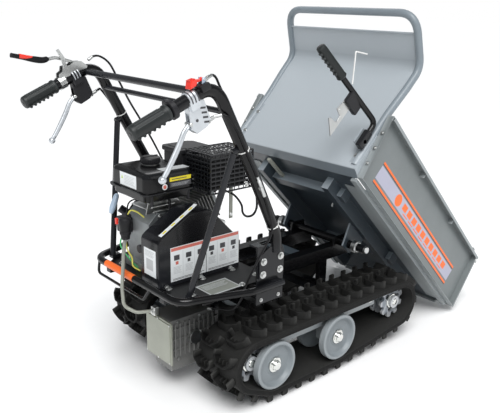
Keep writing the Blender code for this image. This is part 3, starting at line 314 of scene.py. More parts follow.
def smooth(points, step=6.0):
    """Points on a smooth curve through the given points, about one step apart."""
    knots = [Vector(point) for point in points]
    knots = [2 * knots[0] - knots[1]] + knots + [2 * knots[-1] - knots[-2]]
    path = []
    for a, b, c, d in zip(knots, knots[1:], knots[2:], knots[3:]):
        count = max(1, round((c - b).length / step))
        for index in range(count):
            t = index / count
            path.append(0.5 * (2 * b + (c - a) * t + (2 * a - 5 * b + 4 * c - d) * t * t
                               + (3 * b - a - 3 * c + d) * t ** 3))
    path.append(knots[-2])
    return path


def tube(points, radius, bend=0.0, sides=24, radii=None, flat=1.0):
    """A bar along a path; radii can taper it and flat squeezes it across."""
    path = rounded(points, bend) if bend else [Vector(point) for point in points]
    radii = radii or [radius] * len(path)
    heading = (path[1] - path[0]).normalized()
    across = heading.cross(Vector((0, 0, 1)))
    across = (across if across.length > 0.05 else heading.orthogonal()).normalized()
    angles = [2 * math.pi * step / sides for step in range(sides)]
    rings = []
    for index, point in enumerate(path):
        before, after = path[max(index - 1, 0)], path[min(index + 1, len(path) - 1)]
        turn = (after - before).normalized()
        across = (across - turn * across.dot(turn)).normalized()
        other = turn.cross(across)
        ways = [math.cos(a) * across * flat + math.sin(a) * other for a in angles]
        rings.append([point + radii[index] * way for way in ways])
    return rings_to_mesh(rings)


def rod(start, end, radius, sides=20, edge=0.0):
    """A round bar; its ends are rounded over by edge."""
    start, end = Vector(start), Vector(end)
    if not edge:
        return tube([start, end], radius, sides=sides)
    way = (end - start).normalized()
    path = [start, start + way * edge, end - way * edge, end]
    return tube(path, radius, sides=sides, radii=[radius - edge, radius, radius, radius - edge])


def pin(middle, half, radius, sides=20, edge=0.0):
    """A round bar across the machine, half to each side of its middle."""
    x, y, z = middle
    return rod((x, y - half, z), (x, y + half, z), radius, sides, edge)


def bolt(place, way, radius=7.0, washer=True):
    """A hexagon bolt head on a washer."""
    place, way = Vector(place), Vector(way).normalized()
    shapes = [soft(tube([place + way * 1.5, place + way * (1.5 + radius * 0.75)], radius, sides=6), 0.8)]
    if washer:
        shapes.append(rod(place - way * 0.5, place + way * 1.7, radius * 1.55, sides=24, edge=0.4))
    return shapes


def inked(ink, *shapes):
    """Shapes of one finish, as parts of a piece."""
    return [(shape, ink) for shape in shapes]


def bolts(*settings):
    """A bolt as parts of a piece."""
    return inked("zinc", *bolt(*settings))


def on_circle(centre, radius, degrees):
    angle = math.radians(degrees)
    return centre[0] + radius * math.cos(angle), centre[1] + radius * math.sin(angle)


def arc(centre, radius, start, end, steps):
    return [on_circle(centre, radius, start + (end - start) * step / steps) for step in range(steps + 1)]


def turn_of(a, b, c):
    return (b[0] - a[0]) * (c[1] - a[1]) - (b[1] - a[1]) * (c[0] - a[0])


def belt_loop(wheels, steps=18):
    """The inner outline of a belt round wheels given as (x, z, radius)."""
    cloud = []
    for x, z, radius in wheels:
        cloud += arc((x, z), radius, 0, 360 * (1 - 1 / (4 * steps)), 4 * steps - 1)
    cloud.sort()
    hull = []
    for points in (cloud, cloud[::-1]):
        part = []
        for point in points:
            while len(part) > 1 and turn_of(part[-2], part[-1], point) <= 1e-6:
                part.pop()
            part.append(point)
        hull += part[:-1]
    return hull


def offset(loop, distance):
    """The closed outline moved outwards."""
    result = []
    for before, point, after in zip(loop[-1:] + loop[:-1], loop, loop[1:] + loop[:1]):
        way = Vector((after[0] - before[0], after[1] - before[1])).normalized()
        result.append((point[0] + way.y * distance, point[1] - way.x * distance))
    return result


def along(loop, distance):
    """The point at a distance along a closed outline, and the heading there."""
    closed = loop + loop[:1]
    for a, b in zip(closed, closed[1:]):
        length = math.dist(a, b)
        if distance <= length:
            t = distance / length
            return (a[0] + (b[0] - a[0]) * t, a[1] + (b[1] - a[1]) * t), math.atan2(b[1] - a[1], b[0] - a[0])
        distance -= length
    return closed[-1], 0.0


def loop_band(loop, profile):
    """A closed band: the profile, given as (distance outwards, y), carried round the outline."""
    rings = [[(x, y, z) for x, z in offset(loop, out)] for out, y in profile]
    count = len(loop)
    points = [point for ring in rings for point in ring]
    faces = []
    for ring in range(len(rings)):
        following = (ring + 1) % len(rings)
        for step in range(count):
            ahead = (step + 1) % count
            faces.append((ring * count + step, ring * count + ahead, following * count + ahead,
                          following * count + step))
    return skin(points, faces)


def moved(mesh, matrix):
    bmesh.ops.transform(mesh, matrix=matrix, verts=mesh.verts)
    return mesh


def flipped(mesh, side):
    """The same shape on the left (1) or, mirrored, on the right (-1)."""
    if side < 0:
        bmesh.ops.scale(mesh, vec=(1, -1, 1), verts=mesh.verts)
        bmesh.ops.reverse_faces(mesh, faces=mesh.faces)
    return mesh


def mirrored(parts, side):
    return [(flipped(mesh, side), ink) for mesh, ink in parts]


def refined(name, width, segments=2):
    """A CAD node's own shape with its edges rounded, in the drawing frame."""
    mesh = bmesh.new()
    mesh.from_mesh(frame["nodes"][name].data)
    bmesh.ops.remove_doubles(mesh, verts=mesh.verts, dist=1e-6)
    bmesh.ops.dissolve_limit(mesh, angle_limit=math.radians(0.5), verts=mesh.verts, edges=mesh.edges)
    return moved(soft(mesh, width, segments), PLACE.inverted())


def to_object(name, parts, matrix):
    """One mesh object from (shape, finish) pairs. A finish can be (finish, other finish, direction):
    the faces that don't look along the direction get the other one, as painted shade."""
    parts = [(mesh, ink if isinstance(ink, tuple) else (ink, ink, Vector((0, 0, 1)))) for mesh, ink in parts]
    names = list(dict.fromkeys(name for _, ink in parts for name in ink[:2]))
    whole = bmesh.new()
    for mesh, (main, other, way) in parts:
        mesh.normal_update()
        for face in mesh.faces:
            face.material_index = names.index(main if face.normal.dot(way) > 0.35 else other)
        data = bpy.data.meshes.new("part")
        mesh.to_mesh(data)
        mesh.free()
        whole.from_mesh(data)
        bpy.data.meshes.remove(data)
    data = bpy.data.meshes.new(name)
    whole.to_mesh(data)
    whole.free()
    for finish_name in names:
        data.materials.append(FINISHES[finish_name])
    item = bpy.data.objects.new(name, data)
    bpy.context.scene.collection.objects.link(item)
    item.data.transform(matrix)
    return item, names


def piece(name, parts, body, replaces=(), matrix=PLACE, cuts=(), angle=32):
    """Joins shapes into one piece that rides on a body and can stand for CAD nodes."""
    item, names = to_object(name, parts, matrix)
    if cuts:
        tool, _ = to_object("tool", [(mesh, names[0]) for mesh in cuts], matrix)
        modifier = item.modifiers.new("cut", "BOOLEAN")
        modifier.operation = "DIFFERENCE"
        modifier.solver = "EXACT"
        modifier.use_self = True
        modifier.object = tool
        data = bpy.data.meshes.new_from_object(item.evaluated_get(bpy.context.evaluated_depsgraph_get()))
        item.modifiers.clear()
        item.data = data
        bpy.data.objects.remove(tool, do_unlink=True)
    item.data.shade_smooth()
    item.data.set_sharp_from_angle(angle=math.radians(angle))
    weighted = item.modifiers.new("shading", "WEIGHTED_NORMAL")
    weighted.keep_sharp = True
    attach(item, body)
    if replaces:
        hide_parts(*replaces)
    return item


def label(name, origin, across, up, items, body, matrix=PLACE):
    """A printed film: items are (x0, y0, x1, y1, finish) rectangles or (points, finish), first the ground."""
    origin, across, up = Vector(origin), Vector(across).normalized(), Vector(up).normalized()
    normal = across.cross(up)
    parts = []
    for layer, item in enumerate(items):
        rise = 0.25 + 0.12 * min(layer, 2)
        if len(item) == 5:
            x0, y0, x1, y1, ink = item
            corners = [(x0, y0), (x1, y0), (x1, y1), (x0, y1)]
        else:
            corners, ink = item
        rings = [[origin + across * x + up * y + normal * z for x, y in corners] for z in (rise, -0.3)]
        parts.append((rings_to_mesh(rings), ink))
    return piece(name, parts, body, matrix=matrix)


def text_lines(x0, x1, y0, count, step=4.0, ink="label_grey", thick=1.3):
    """Thin bars that stand for lines of small print; each is a little shorter or longer."""
    return [(x0, y0 - index * step, x1 - (index * 7 % 5) * 0.04 * (x1 - x0), y0 - index * step + thick, ink)
            for index in range(count)]


def handle_axis(x, side=1):
    """The point on the axis of a handle's straight rear run at a given x."""
    start, end = Vector(HANDLE_PATH[0]), Vector(HANDLE_PATH[1])
    point = start.lerp(end, (x - start.x) / (end.x - start.x))
    return Vector((point.x, side * point.y, point.z))


def handle_outline(rear, front, side_of_tube, thickness):
    """Outline of a plate along the rear run, thick upwards (1) or downwards (-1) from the tube."""
    low, high = handle_axis(rear), handle_axis(front)
    reach = side_of_tube * thickness
    return [(low.x, low.z + side_of_tube), (high.x, high.z + side_of_tube),
            (high.x + ACROSS_X * reach, high.z + ACROSS_Z * reach),
            (low.x + ACROSS_X * reach, low.z + ACROSS_Z * reach)]


# ---------------------------------------------------------------- tracks

def pocket_wall(half, wall):
    """Plan of a track lug: a C of even wall thickness, open to the front."""
    spine = rounded([(21, half, 0), (2, half, 0), (-17, half * 0.5, 0), (-17, -half * 0.5, 0), (2, -half, 0),
                     (21, -half, 0)], 14, steps=4)
    outer, inner = [], []
    for index, point in enumerate(spine):
        way = (spine[min(index + 1, len(spine) - 1)] - spine[max(index - 1, 0)]).normalized()
        outer.append((point.x - way.y * wall, point.y + way.x * wall))
        inner.append((point.x + way.y * wall, point.y - way.x * wall))
    return outer + inner[::-1]


def track(name, side):
    inner = belt_loop(WHEELS)
    low, high = BELT_EDGES
    section = [(0, low), (0, high), (3, high + 1), (BELT_THICK - 4, high + 1), (BELT_THICK, high - 3),
               (BELT_THICK, low + 3), (BELT_THICK - 4, low), (3, low)]
    outer = offset(inner, BELT_THICK)
    length = sum(math.dist(a, b) for a, b in zip(outer, outer[1:] + outer[:1]))
    links = round(length / LUG_PITCH)
    parts = [(loop_band(inner, section), "track_rubber")]
    for row, (middle, half) in enumerate(((201, 38), (283, 36))):
        for link in range(links):
            (x, z), heading = along(outer, (link + 0.5 * row) * length / links)
            shapes = [soft(prism(pocket_wall(half, 4.2), -3, LUG_HEIGHT - 0.5, axis="z"), 1.3, 1, 50)]
            for y in (-half * 0.45, 0, half * 0.45):
                shapes.append(block((-15, y - 2.6, -2), (1, y + 2.6, 15), 1.2))
            turn = Matrix.Rotation(math.pi - heading, 4, "Y")
            spot = Matrix.Translation((x * MM, middle * MM, z * MM)) @ turn
            parts += inked("track_rubber", *[moved(shape, spot) for shape in shapes])
    piece("rubber_track_" + name, mirrored(parts, side), "machine", ["track_belt_" + name], angle=40)


def road_roller(place, name, side):
    x, z = ROLLERS[place]
    rim, face = ROLLER_RADIUS, WHEEL_FACE
    profile = [(3, face - 14), (26, face - 14), (28, face - 12.5), (31, face - 12.5), (33, face - 14),
               (56, face - 14), (60, face - 12), (65, face - 3), (68, face - 0.5), (rim - 4, face),
               (rim - 1, face - 1.5), (rim, face - 4), (rim, face - 23), (rim - 3, face - 25),
               (24, face - 20), (15, face - 34), (15, 226)]
    if place == "front":
        profile += [(rim - 2, 222), (rim, 219), (rim, 203), (rim - 2, 200), (24, 200), (24, 190)]
    cap = [(24, face - 15), (24, face - 9), (22, face - 8), (17, face - 8), (15, face - 6), (15, face - 1),
           (12.5, face + 2), (8, face + 3.6), (2, face + 4)]
    parts = [(turned(profile, (x, 0, z), sides=64), "wheel_paint"), (turned(cap, (x, 0, z)), "chrome")]
    node_name = f"road_roller_{place}_{name}"
    piece(f"wheel_{place}_{name}", mirrored(parts, side), node_name, [node_name], angle=24)


def toothed_outline(centre):
    """Broad teeth with narrow rounded valleys between them."""
    outline = []
    valley = 360 / TEETH * 0.5
    for tooth in range(TEETH):
        base = 360 * tooth / TEETH
        for turn, radius in ((-0.42, 52), (-0.3, 48), (0, 46.5), (0.3, 48), (0.42, 52), (0.5, 58),
                             (0.62, 61.5), (0.85, 62.5), (1.15, 62.5), (1.38, 61.5), (1.5, 58)):
            outline.append(on_circle(centre, radius, base + turn * valley))
    return outline


def toothed_wheel(node_name, centre, side, shaft_in):
    hub = [(16, shaft_in), (16, 222), (23, 222), (23, 304)]
    cap = [(30, 288), (30, 293), (28, 295), (23, 296), (22, 299), (16, 300), (14, 303), (11, 306), (6, 307),
           (1, 307)]
    plates = inked("sprocket_paint", *[prism(toothed_outline(centre), low, low + 9) for low in (234, 281)])
    holes = []
    for index in range(3):
        x, z = on_circle(centre, 34, 20 + 120 * index)
        holes.append(flipped(turned([(10, 225), (10, 300)], (x, 0, z), sides=28), side))
    rim_name = node_name.replace("drive_", "toothed_").replace("front_", "toothed_")
    piece(rim_name, mirrored(plates, side), node_name, [node_name], cuts=holes)
    parts = [(turned(hub, (centre[0], 0, centre[1]), sides=32), "sprocket_paint"),
             (turned(cap, (centre[0], 0, centre[1])), "chrome")]
    piece(node_name + "_hub", mirrored(parts, side), node_name, angle=24)


def tracks():
    for name, side in SIDES.items():
        track(name, side)
        for place in ROLLERS:
            road_roller(place, name, side)
        toothed_wheel("drive_sprocket_" + name, SPROCKET, side, 52 if side > 0 else 105)
        toothed_wheel("front_idler_" + name, IDLER, side, 218)
        beam = [(refined("track_frame_" + name, 2.0), "wheel_paint")]
        for x in (40, 245, 327, 480):
            beam += mirrored(bolts((x, 294, 189), (0, 1, 0), 6), side)
        piece("track_beam_" + name, beam, "machine", ["track_frame_" + name])


# ---------------------------------------------------------------- frame, deck and gearbox

def chassis():
    parts = [(refined("chassis_frame", 1.6), "black_paint")]
    for side in (-1, 1):
        for x, z in ((-30, 335), (40, 335), (-32, 455)):
            parts += bolts((x, side * 284, z), (0, side, 0), 4)
        parts.append((turned([(17, side * 176), (22, side * 178), (22, side * 196), (17, side * 198)],
                             (DUMP_PIVOT[0], 0, DUMP_PIVOT[1])), "zinc"))
        ends = [(DUMP_PIVOT[0], side * reach, DUMP_PIVOT[1]) for reach in (226, 238)]
        parts.append((rod(*ends, 12.5, edge=2), "zinc"))
    piece("machine_frame", parts, "machine", ["chassis_frame"])
    cross = [(block((300, -104, 296), (352, 104, 338), 3), "dark_frame")]
    loop = [(-56, -34, 352), (-56, -34, 392), (-56, 34, 392), (-56, 34, 352)]
    cross.append((tube(loop, 5, bend=14), "zinc"))
    piece("cross_channel", cross, "machine")


def deck():
    parts = [(refined("engine_deck", 1.2), "deck_paint")]
    for x, y in ((-242, -113), (-116, -113), (1, -113), (-202, -169), (-51, -222), (30, -190), (-242, 150),
                 (-150, 205), (30, 200), (-60, 215)):
        parts += bolts((x, y, 370), (0, 0, 1), 6.5)
    piece("deck_plate", parts, "machine", ["engine_deck"])
    items = [(0, 0, 112, 78, "label_grey"), (4, 4, 108, 74, "plate_olive")]
    items += text_lines(10, 100, 62, 5, 6, "label_grey", 2)
    label("deck_label", (-172, -228, DECK_TOP), (1, 0, 0), (0, 1, 0), items, "machine")


def bumper():
    outline = [(44, -298), (-75, -298), (-290, -228), (-290, 228), (-75, 298), (44, 298)]
    parts = [(tube([(x, y, RAIL_Z) for x, y in outline], 11, bend=60), "black_paint")]
    for side in (-1, 1):
        parts.append((block((5, side * 284.4, 368), (40, side * 296, 390), 2), "black_paint"))
        parts.append((block((-292, side * 150 - 12, 352), (-262.3, side * 150 + 12, 374), 2), "black_paint"))
        parts += bolts((22, side * 300, RAIL_Z), (0, side, 0), 5.5)
    guard = [(-291, 206, RAIL_Z), (-296, 208, 334), (-296, -62, 334), (-291, -92, RAIL_Z)]
    parts.append((tube(guard, 4.5, bend=16, sides=16), "black_paint"))
    piece("deck_rail", parts, "machine", ["bumper_rail"])
    sleeve = tube([(-290, -2, RAIL_Z), (-290, 160, RAIL_Z)], 11.35, sides=24)
    piece("rail_sleeve", [(sleeve, "label_orange")], "machine")


def gearbox():
    case = [(-228, 108), (-60, 108), (-38, 130), (-38, 200), (-70, 252), (-228, 252)]
    ribs = [block((x, -103, 128), (x + 5, -90, 240), 1.5) for x in range(-215, -60, 18)]
    ribs += [block((-222, -101, z), (-45, -90, z + 4), 1.2) for z in (150, 185, 220)]
    parts = inked("cast_alloy", prism(case, -95, 13, edge=6), block((-100, -30, 245), (-50, 12, 358), 5),
                  block((-222, -92, 79), (-120, 0, 112), 4),
                  turned([(26, -104), (30, -101), (30, 48), (26, 51)], (-78, 0, 148)), *ribs)
    parts += inked("black_paint", block((-58, -96, 190), (-40, -76, 293), 1.5),
                   block((-58, 8, 190), (-40, 96, 215), 1.5), block((-58, 76, 210), (-40, 96, 293), 1.5))
    for y, z in ((-86, 120), (-86, 240), (4, 120), (4, 240), (-40, 247)):
        parts += bolts((-60, y, z), (1, 0, 0), 5)
    for x, z in ((-200, 118), (-200, 243), (-120, 118), (-120, 243), (-60, 160)):
        parts += bolts((x, -95, z), (0, -1, 0), 5, False)
    parts.append((turned([(20, -112), (24, -110), (24, -98), (20, -96)], (-140, 0, 180)), "zinc"))
    piece("gear_case", parts, "machine", ["gearbox_case"])
    plate = [(-110, 110), (26, 110), (26, 246), (20, 252), (-104, 252), (-110, 246)]
    raised = [(y * 0.93 - 3, 181 + (z - 181) * 0.92) for y, z in plate]
    parts = inked("olive_zinc", prism(plate, -235, -228.3, axis="x", edge=1.2),
                  prism(raised, -238, -234, axis="x", edge=1.5))
    for y, z in ((-104, 118), (-104, 244), (20, 118), (20, 244), (-42, 248), (-42, 114)):
        parts += bolts((-234.5, y, z), (-1, 0, 0), 3.4, False)
    piece("gear_cover", parts, "machine", ["gearbox_cover"])


def shift_lever():
    path = [(-246, -42, 276), (-288, -4, 268), (-316, 22, 288), (-317, 26, 350), (-317, 8, 470),
            (-317, -4, 520)]
    parts = [(tube(path, 5.5, bend=30, sides=18), "strap_olive"),
             (block((-254, -52, 262), (-238, -32, 290), 2), "zinc")]
    parts += bolts((-254, -42, 276), (-1, 0, 0), 6)
    knob = [(8, 512), (12.5, 514), (13.5, 520), (19, 560), (20, 567), (18, 574), (13, 578), (3, 579)]
    collar = [(15.6, 528), (16.6, 530), (17, 535), (16.6, 537)]
    parts += inked("black_plastic", *[turned(profile, (-317, -5, 0), axis="z") for profile in (knob, collar)])
    piece("gear_stick", parts, "shift_lever", ["shift_lever"])


def drive():
    for name, (x, z), reach in (("engine", CRANK, 69), ("gearbox", GEAR_SHAFT, 66)):
        radius = PULLEY_RADIUS[name]
        profile = [(9, -16), (radius + 6, -13), (radius + 9, -12), (radius + 9, -10), (radius, -7),
                   (radius, 7), (radius + 9, 10), (radius + 9, 12), (radius + 6, 13), (11, 13), (11, reach)]
        parts = [(turned(profile, (x, PULLEY_Y, z), sides=56), "zinc")]
        piece(name + "_pulley_rim", parts, name + "_pulley", [name + "_pulley"], angle=24)
    loop = belt_loop([(*CRANK, PULLEY_RADIUS["engine"]), (*GEAR_SHAFT, PULLEY_RADIUS["gearbox"])])
    low, high = PULLEY_Y - 3.5, PULLEY_Y + 3.5
    band = loop_band(loop, [(0.5, low), (0.5, high), (8.5, high + 1.8), (8.5, low - 1.8)])
    piece("vee_belt", [(band, "track_rubber")], "machine", ["drive_belt"])
    arm = prism([(26, 380), (30, 396), (-6, 414), (-12, 400)], -39, -35, edge=1)
    roller = turned([(10, -62), (15, -61), (16, -59), (16, -45), (15, -43), (8, -42), (6, -36)], (-2, 0, 405))
    piece("tensioner_arm", [(arm, "zinc"), (roller, "black_plastic")], "belt_tensioner", ["belt_tensioner"])


# ---------------------------------------------------------------- engine

def crankcase():
    parts = [(refined("crankcase", 3.0, 3), "case_alloy")]
    parts += [(block((x, 30, 545), (x + 4, 136, 566), 1), "case_alloy") for x in range(-188, -84, 26)]
    for x, z in ((-205, 410), (-205, 500), (-60, 410), (-50, 490), (-80, 535), (-180, 548)):
        parts += bolts((x, 17.6, z), (0, -1, 0), 5.5)
        parts += bolts((x, 148, z), (0, 1, 0), 5.5)
    for x in (-222, -34):
        for y in (36, 132):
            parts += bolts((x, y, 394), (0, 0, 1), 5.5)
    plug = turned([(6, -246), (13, -245), (13, -238), (9, -236)], (0, 40, 452), axis="x", sides=24)
    parts.append((plug, "black_plastic"))
    piece("crank_case", parts, "machine", ["crankcase"])
    plate = [(-226, 562), (-216, 604), (-120, 604), (-96, 580), (-96, 562)]
    parts = inked("zinc", prism(plate, 24, 27, edge=0.8), block((-200, 20, 562), (-110, 150, 566), 1),
                  rod((-214, 12, 585), (-130, 12, 585), 3, edge=1))
    parts.append((rod((-150, 10, 570), (-150, 10, 600), 5, edge=1), "black_plastic"))
    piece("governor_plate", parts, "machine")


def cylinder():
    start, reach = 78, 168
    centre = Matrix.Translation(Vector((CRANK[0], 0, CRANK[1])) * MM)
    tilt = centre @ Matrix.Rotation(math.radians(-25), 4, "Y")
    shapes = [(block((start - 30, 46, -30), (reach, 122, 30), 3), "fin_alloy")]
    for index in range(8):
        place = start + 8 + index * 11
        shapes.append((block((place, 23, -51), (place + 2.6, 143, 51), 1), "fin_alloy"))
    shapes.append((block((reach - 4, 35, -43), (reach + 15.5, 133, 43), 3), "case_alloy"))
    for y in (44, 124):
        for z in (-34, 34):
            shapes += bolts((reach + 15, y, z), (1, 0, 0), 5, False)
    parts = [(moved(mesh, tilt), ink) for mesh, ink in shapes]
    parts += [(rod((48, 84, 560), (92, 84, 580), 9, edge=2), "black_plastic"),
              (block((-14, 100, 545), (30, 151.5, 611), 3), "case_alloy"),
              (rod((8, 99, 560), (8, 90, 560), 12, edge=2), "zinc"),
              (rod((8, 128, 548), (8, 128, 528), 13, edge=2), "case_alloy")]
    piece("cylinder_block", parts, "machine", ["engine_cylinder"])


def tank_ring(outline, shrink, z, shift):
    """The tank's plan at a height, scaled about its middle and shifted."""
    middle = Vector((sum(x for x, _ in outline) / len(outline), sum(y for _, y in outline) / len(outline)))
    return [(middle.x + (x - middle.x) * shrink + shift[0], middle.y + (y - middle.y) * shrink + shift[1], z)
            for x, y in outline]


def fuel_tank():
    corners = [(-254, -20), (-78, -20), (-78, 178), (-254, 178)]
    ring = []
    for (x, y), start in zip(corners, (180, 270, 0, 90)):
        centre = (x + TANK_BEND * (1 if x < -160 else -1), y + TANK_BEND * (1 if y < 80 else -1))
        ring += arc(centre, TANK_BEND, start, start + 90, 6)
    levels = [(0.80, 606, (4, 2)), (0.90, 607, (2, 2)), (0.95, 612, (1, 1))]
    levels += [(shrink, z, (0, 0)) for shrink, z in (
        (0.97, 632), (1.08, 633), (1.085, 635), (1.085, 638), (1.0, 639.5), (0.995, 645), (0.985, 680),
        (0.96, 690), (0.90, 695), (0.80, 697), (0.55, 697.5))]
    body = rings_to_mesh([tank_ring(ring, shrink, z, shift) for shrink, z, shift in levels])
    parts = [(body, "black_paint")]
    parts.append((turned([(26, 694), (26, 699), (24, 701)], (*CAP_AT, 0), axis="z"), "zinc"))
    parts += [(block((-262, y, 632), (-254, y + 26, 640), 1), "black_paint") for y in (-4, 140)]
    parts += [(rod((x, -12, 600), (x, -12, 634), 5), "black_plastic") for x in (-228, -96)]
    piece("fuel_tank_shell", parts, "machine", ["fuel_tank"], angle=38)
    items = [(0, 0, 96, 34, "label_grey")]
    label("tank_top_strip", (-182, -6, 697.3), (1, 0, 0), (0, 1, 0), items, "machine")
    items = [(0, 0, 92, 40, "label_white"), ([(8, 20), (18, 20), (13, 31)], "label_green")]
    items += text_lines(26, 82, 31, 6, 4.6)
    label("tank_rear_label", (-253.4, 122, 644), (0, -1, 0), (0, 0, 1), items, "machine")
    items = [(0, 18, 78, 30, "label_yellow"), (0, 0, 78, 15, "label_ink")]
    items += text_lines(8, 62, 23, 1, 4, "label_ink", 2.4) + text_lines(6, 72, 10, 3, 3.4, "label_grey", 1)
    label("tank_side_label", (-168, -19.6, 647), (1, 0, 0), (0, 0, 1), items, "machine")
    ring_mark = turned([(9, -20.4), (9, -19)], (-186, 0, 652), sides=32)
    dot = turned([(6, -20.7), (6, -19)], (-186, 0, 652), sides=32)
    piece("tank_ring_mark", [(ring_mark, "label_white"), (dot, "label_red")], "machine")
    cap = [(22, 701.3), (29.5, 702), (30.5, 704), (31, 716), (29, 719.5), (25, 721), (3, 721.5)]
    parts = [(turned(cap, (*CAP_AT, 0), axis="z", sides=64), "black_plastic")]
    for index in range(CAP_RIBS):
        x, y = on_circle(CAP_AT, 30.6, 360 * index / CAP_RIBS)
        parts.append((rod((x, y, 703), (x, y, 716), 1.1, sides=8), "black_plastic"))
    parts.append((block((-187, 92, 719), (-133, 100, 724), 2), "black_plastic"))
    piece("fuel_filler_cap", parts, "fuel_cap", ["fuel_cap"], angle=28)


def air_cleaner():
    body = [(-56, 74), (48, 74), (60, 90), (60, 170), (44, 184), (-48, 184), (-58, 170)]
    lid = [(-62, 70), (54, 70), (66, 88), (66, 174), (48, 190), (-52, 190), (-64, 174)]
    raised = [(x * 0.75, 130 + (y - 130) * 0.75) for x, y in lid]
    ribs = [block((x, 72.5, 655), (x + 5, 76, 708), 1) for x in range(-48, 44, 13)]
    parts = inked("black_plastic", prism(body, 646, 716, axis="z", edge=4),
                  prism(lid, 716, 731, axis="z", edge=4), prism(raised, 729, 733, axis="z", edge=1.8),
                  rod((6, 128, 650), (6, 128, 611.3), 16), *ribs)
    piece("air_filter_box", parts, "machine", ["air_cleaner"])
    parts = [(block((2, 152.3, 590), (12, 156, 632), 1.5), "zinc"),
             (rod((7, 153.2, 628), (7, 168, 628), 4, edge=1.5), "grey_plastic")]
    piece("choke_tab", parts, "choke_lever", ["choke_lever"])


def cage_bar(place, half, edge):
    """A bar of the muffler's cage: a coordinate is one number or the span that the bar runs along."""
    spans = [value if isinstance(value, tuple) else (value, value) for value in place]
    low = [span[0] - wide for span, wide in zip(spans, half)]
    high = [span[1] + wide for span, wide in zip(spans, half)]
    return block(low, high, edge)


def between(span, count):
    """The places that divide a span in count equal parts."""
    return [span[0] + (span[1] - span[0]) * index / count for index in range(1, count)]


def muffler():
    body = [(-34, 618), (96, 618), (106, 630), (106, 706), (92, 718), (-28, 718), (-38, 704)]
    parts = [(prism(body, -52, 48, edge=6), "deck_paint"),
             (tube([(60, 20, 622), (72, 30, 604), (76, 34, 598)], 15, bend=20), "deck_paint"),
             (rod((96, -30, 700), (116, -30, 700), 9, edge=1), "zinc")]
    parts += bolts((80, 8, 718), (0, 0, 1), 5)
    piece("muffler_body", parts, "machine", ["muffler"])
    xs, ys, zs = (-49, 121), (-65, 59), (613, 737)
    lid = zs[1] - 0.35
    bars = [cage_bar((x, y, zs), (2.4, 2.4, 0), 1) for x in xs for y in ys]
    for z in (zs[0] + 1, zs[1] - 1):
        bars += [cage_bar((x, ys, z), (2.4, 0, 2.4), 1) for x in xs]
        bars += [cage_bar((xs, y, z), (0, 2.4, 2.4), 1) for y in ys]
    for z in between(zs, 9):
        bars += [cage_bar((xs, y, z), (0, 1.5, 2.8), 0.8) for y in ys]
        bars += [cage_bar((x, ys, z), (1.5, 0, 2.8), 0.8) for x in xs]
    for x in between(xs, 9):
        bars += [cage_bar((x, ys[0], zs), (1.6, 1, 0), 0.6), cage_bar((x, ys, lid), (3.2, 0, 1.15), 0.6)]
    for y in between(ys, 8):
        bars += [cage_bar((x, y, zs), (1, 1.6, 0), 0.6) for x in xs]
        bars.append(cage_bar((xs, y, lid), (0, 2, 1.15), 0.6))
    shapes = inked("black_paint", *bars)
    for x, y in ((-30, -50), (100, -50), (100, 44), (35, -50)):
        shapes += bolts((x, y, 736.5), (0, 0, 1), 3.4, False)
    shapes += bolts((96, -66, 622), (0, -1, 0), 4.5)
    piece("muffler_cage", shapes, "machine", ["muffler_guard"])
    parts = [(block((38, -51, 517), (52, -47.5, 619), 1.2), "strap_olive"),
             (rod((45, -52, 530), (45, -47, 530), 6, edge=1), "zinc"),
             (rod((33, -26, 495), (33, 4, 495), 12, edge=3), "zinc"),
             (rod((33, -18, 495), (33, 30, 495), 7), "case_alloy"),
             (rod((70, 60, 470), (92, 60, 610), 4), "case_alloy")]
    piece("muffler_strap", parts, "machine")


def recoil_starter():
    centre = (CRANK[0], 0, CRANK[1])
    profile = [(95, 148.5), (98, 151), (98, 178), (96, 184), (90, 193), (84, 197), (44, 205), (38, 209),
               (34, 211.5), (3, 212)]
    slots = []
    for index in range(12):
        turn = Matrix.Translation(Vector(centre) * MM) @ Matrix.Rotation(2 * math.pi * index / 12, 4, "Y")
        slots.append(moved(block((50, 190, -5), (80, 215, 5)), turn))
    housing = [(turned(profile, centre, sides=64), "black_paint")]
    piece("starter_housing", housing, "machine", ["recoil_starter"], cuts=slots)
    parts = [(rod((-190, 196, 520), (-208, 210, 536), 13, edge=2), "black_paint"),
             (turned([(82, 150), (82, 188)], centre), "cast_alloy")]
    for index in range(3):
        x, z = on_circle(CRANK, 88, 30 + 120 * index)
        parts += bolts((x, 194, z), (0, 1, 0), 5, False)
    piece("starter_guide", parts, "machine")
    way = Vector((-0.80, 0.22, 0.56)).normalized()
    start = Vector((-214, 213, 542))
    middle = start + way * 14
    span = Vector((0.45, 0.12, 0.88)).normalized()
    places = (-32, -30, -24, -10, 14, 28, 34, 36)
    path = [middle + span * place for place in places]
    grip = tube(path, 0, radii=[4, 6.5, 8.5, 11, 10, 8.8, 6.5, 4], sides=28)
    parts = [(grip, "grey_plastic"), (rod(start + way * 3, middle, 4), "black_plastic")]
    piece("pull_handle", parts, "recoil_grip", ["recoil_grip"], angle=50)


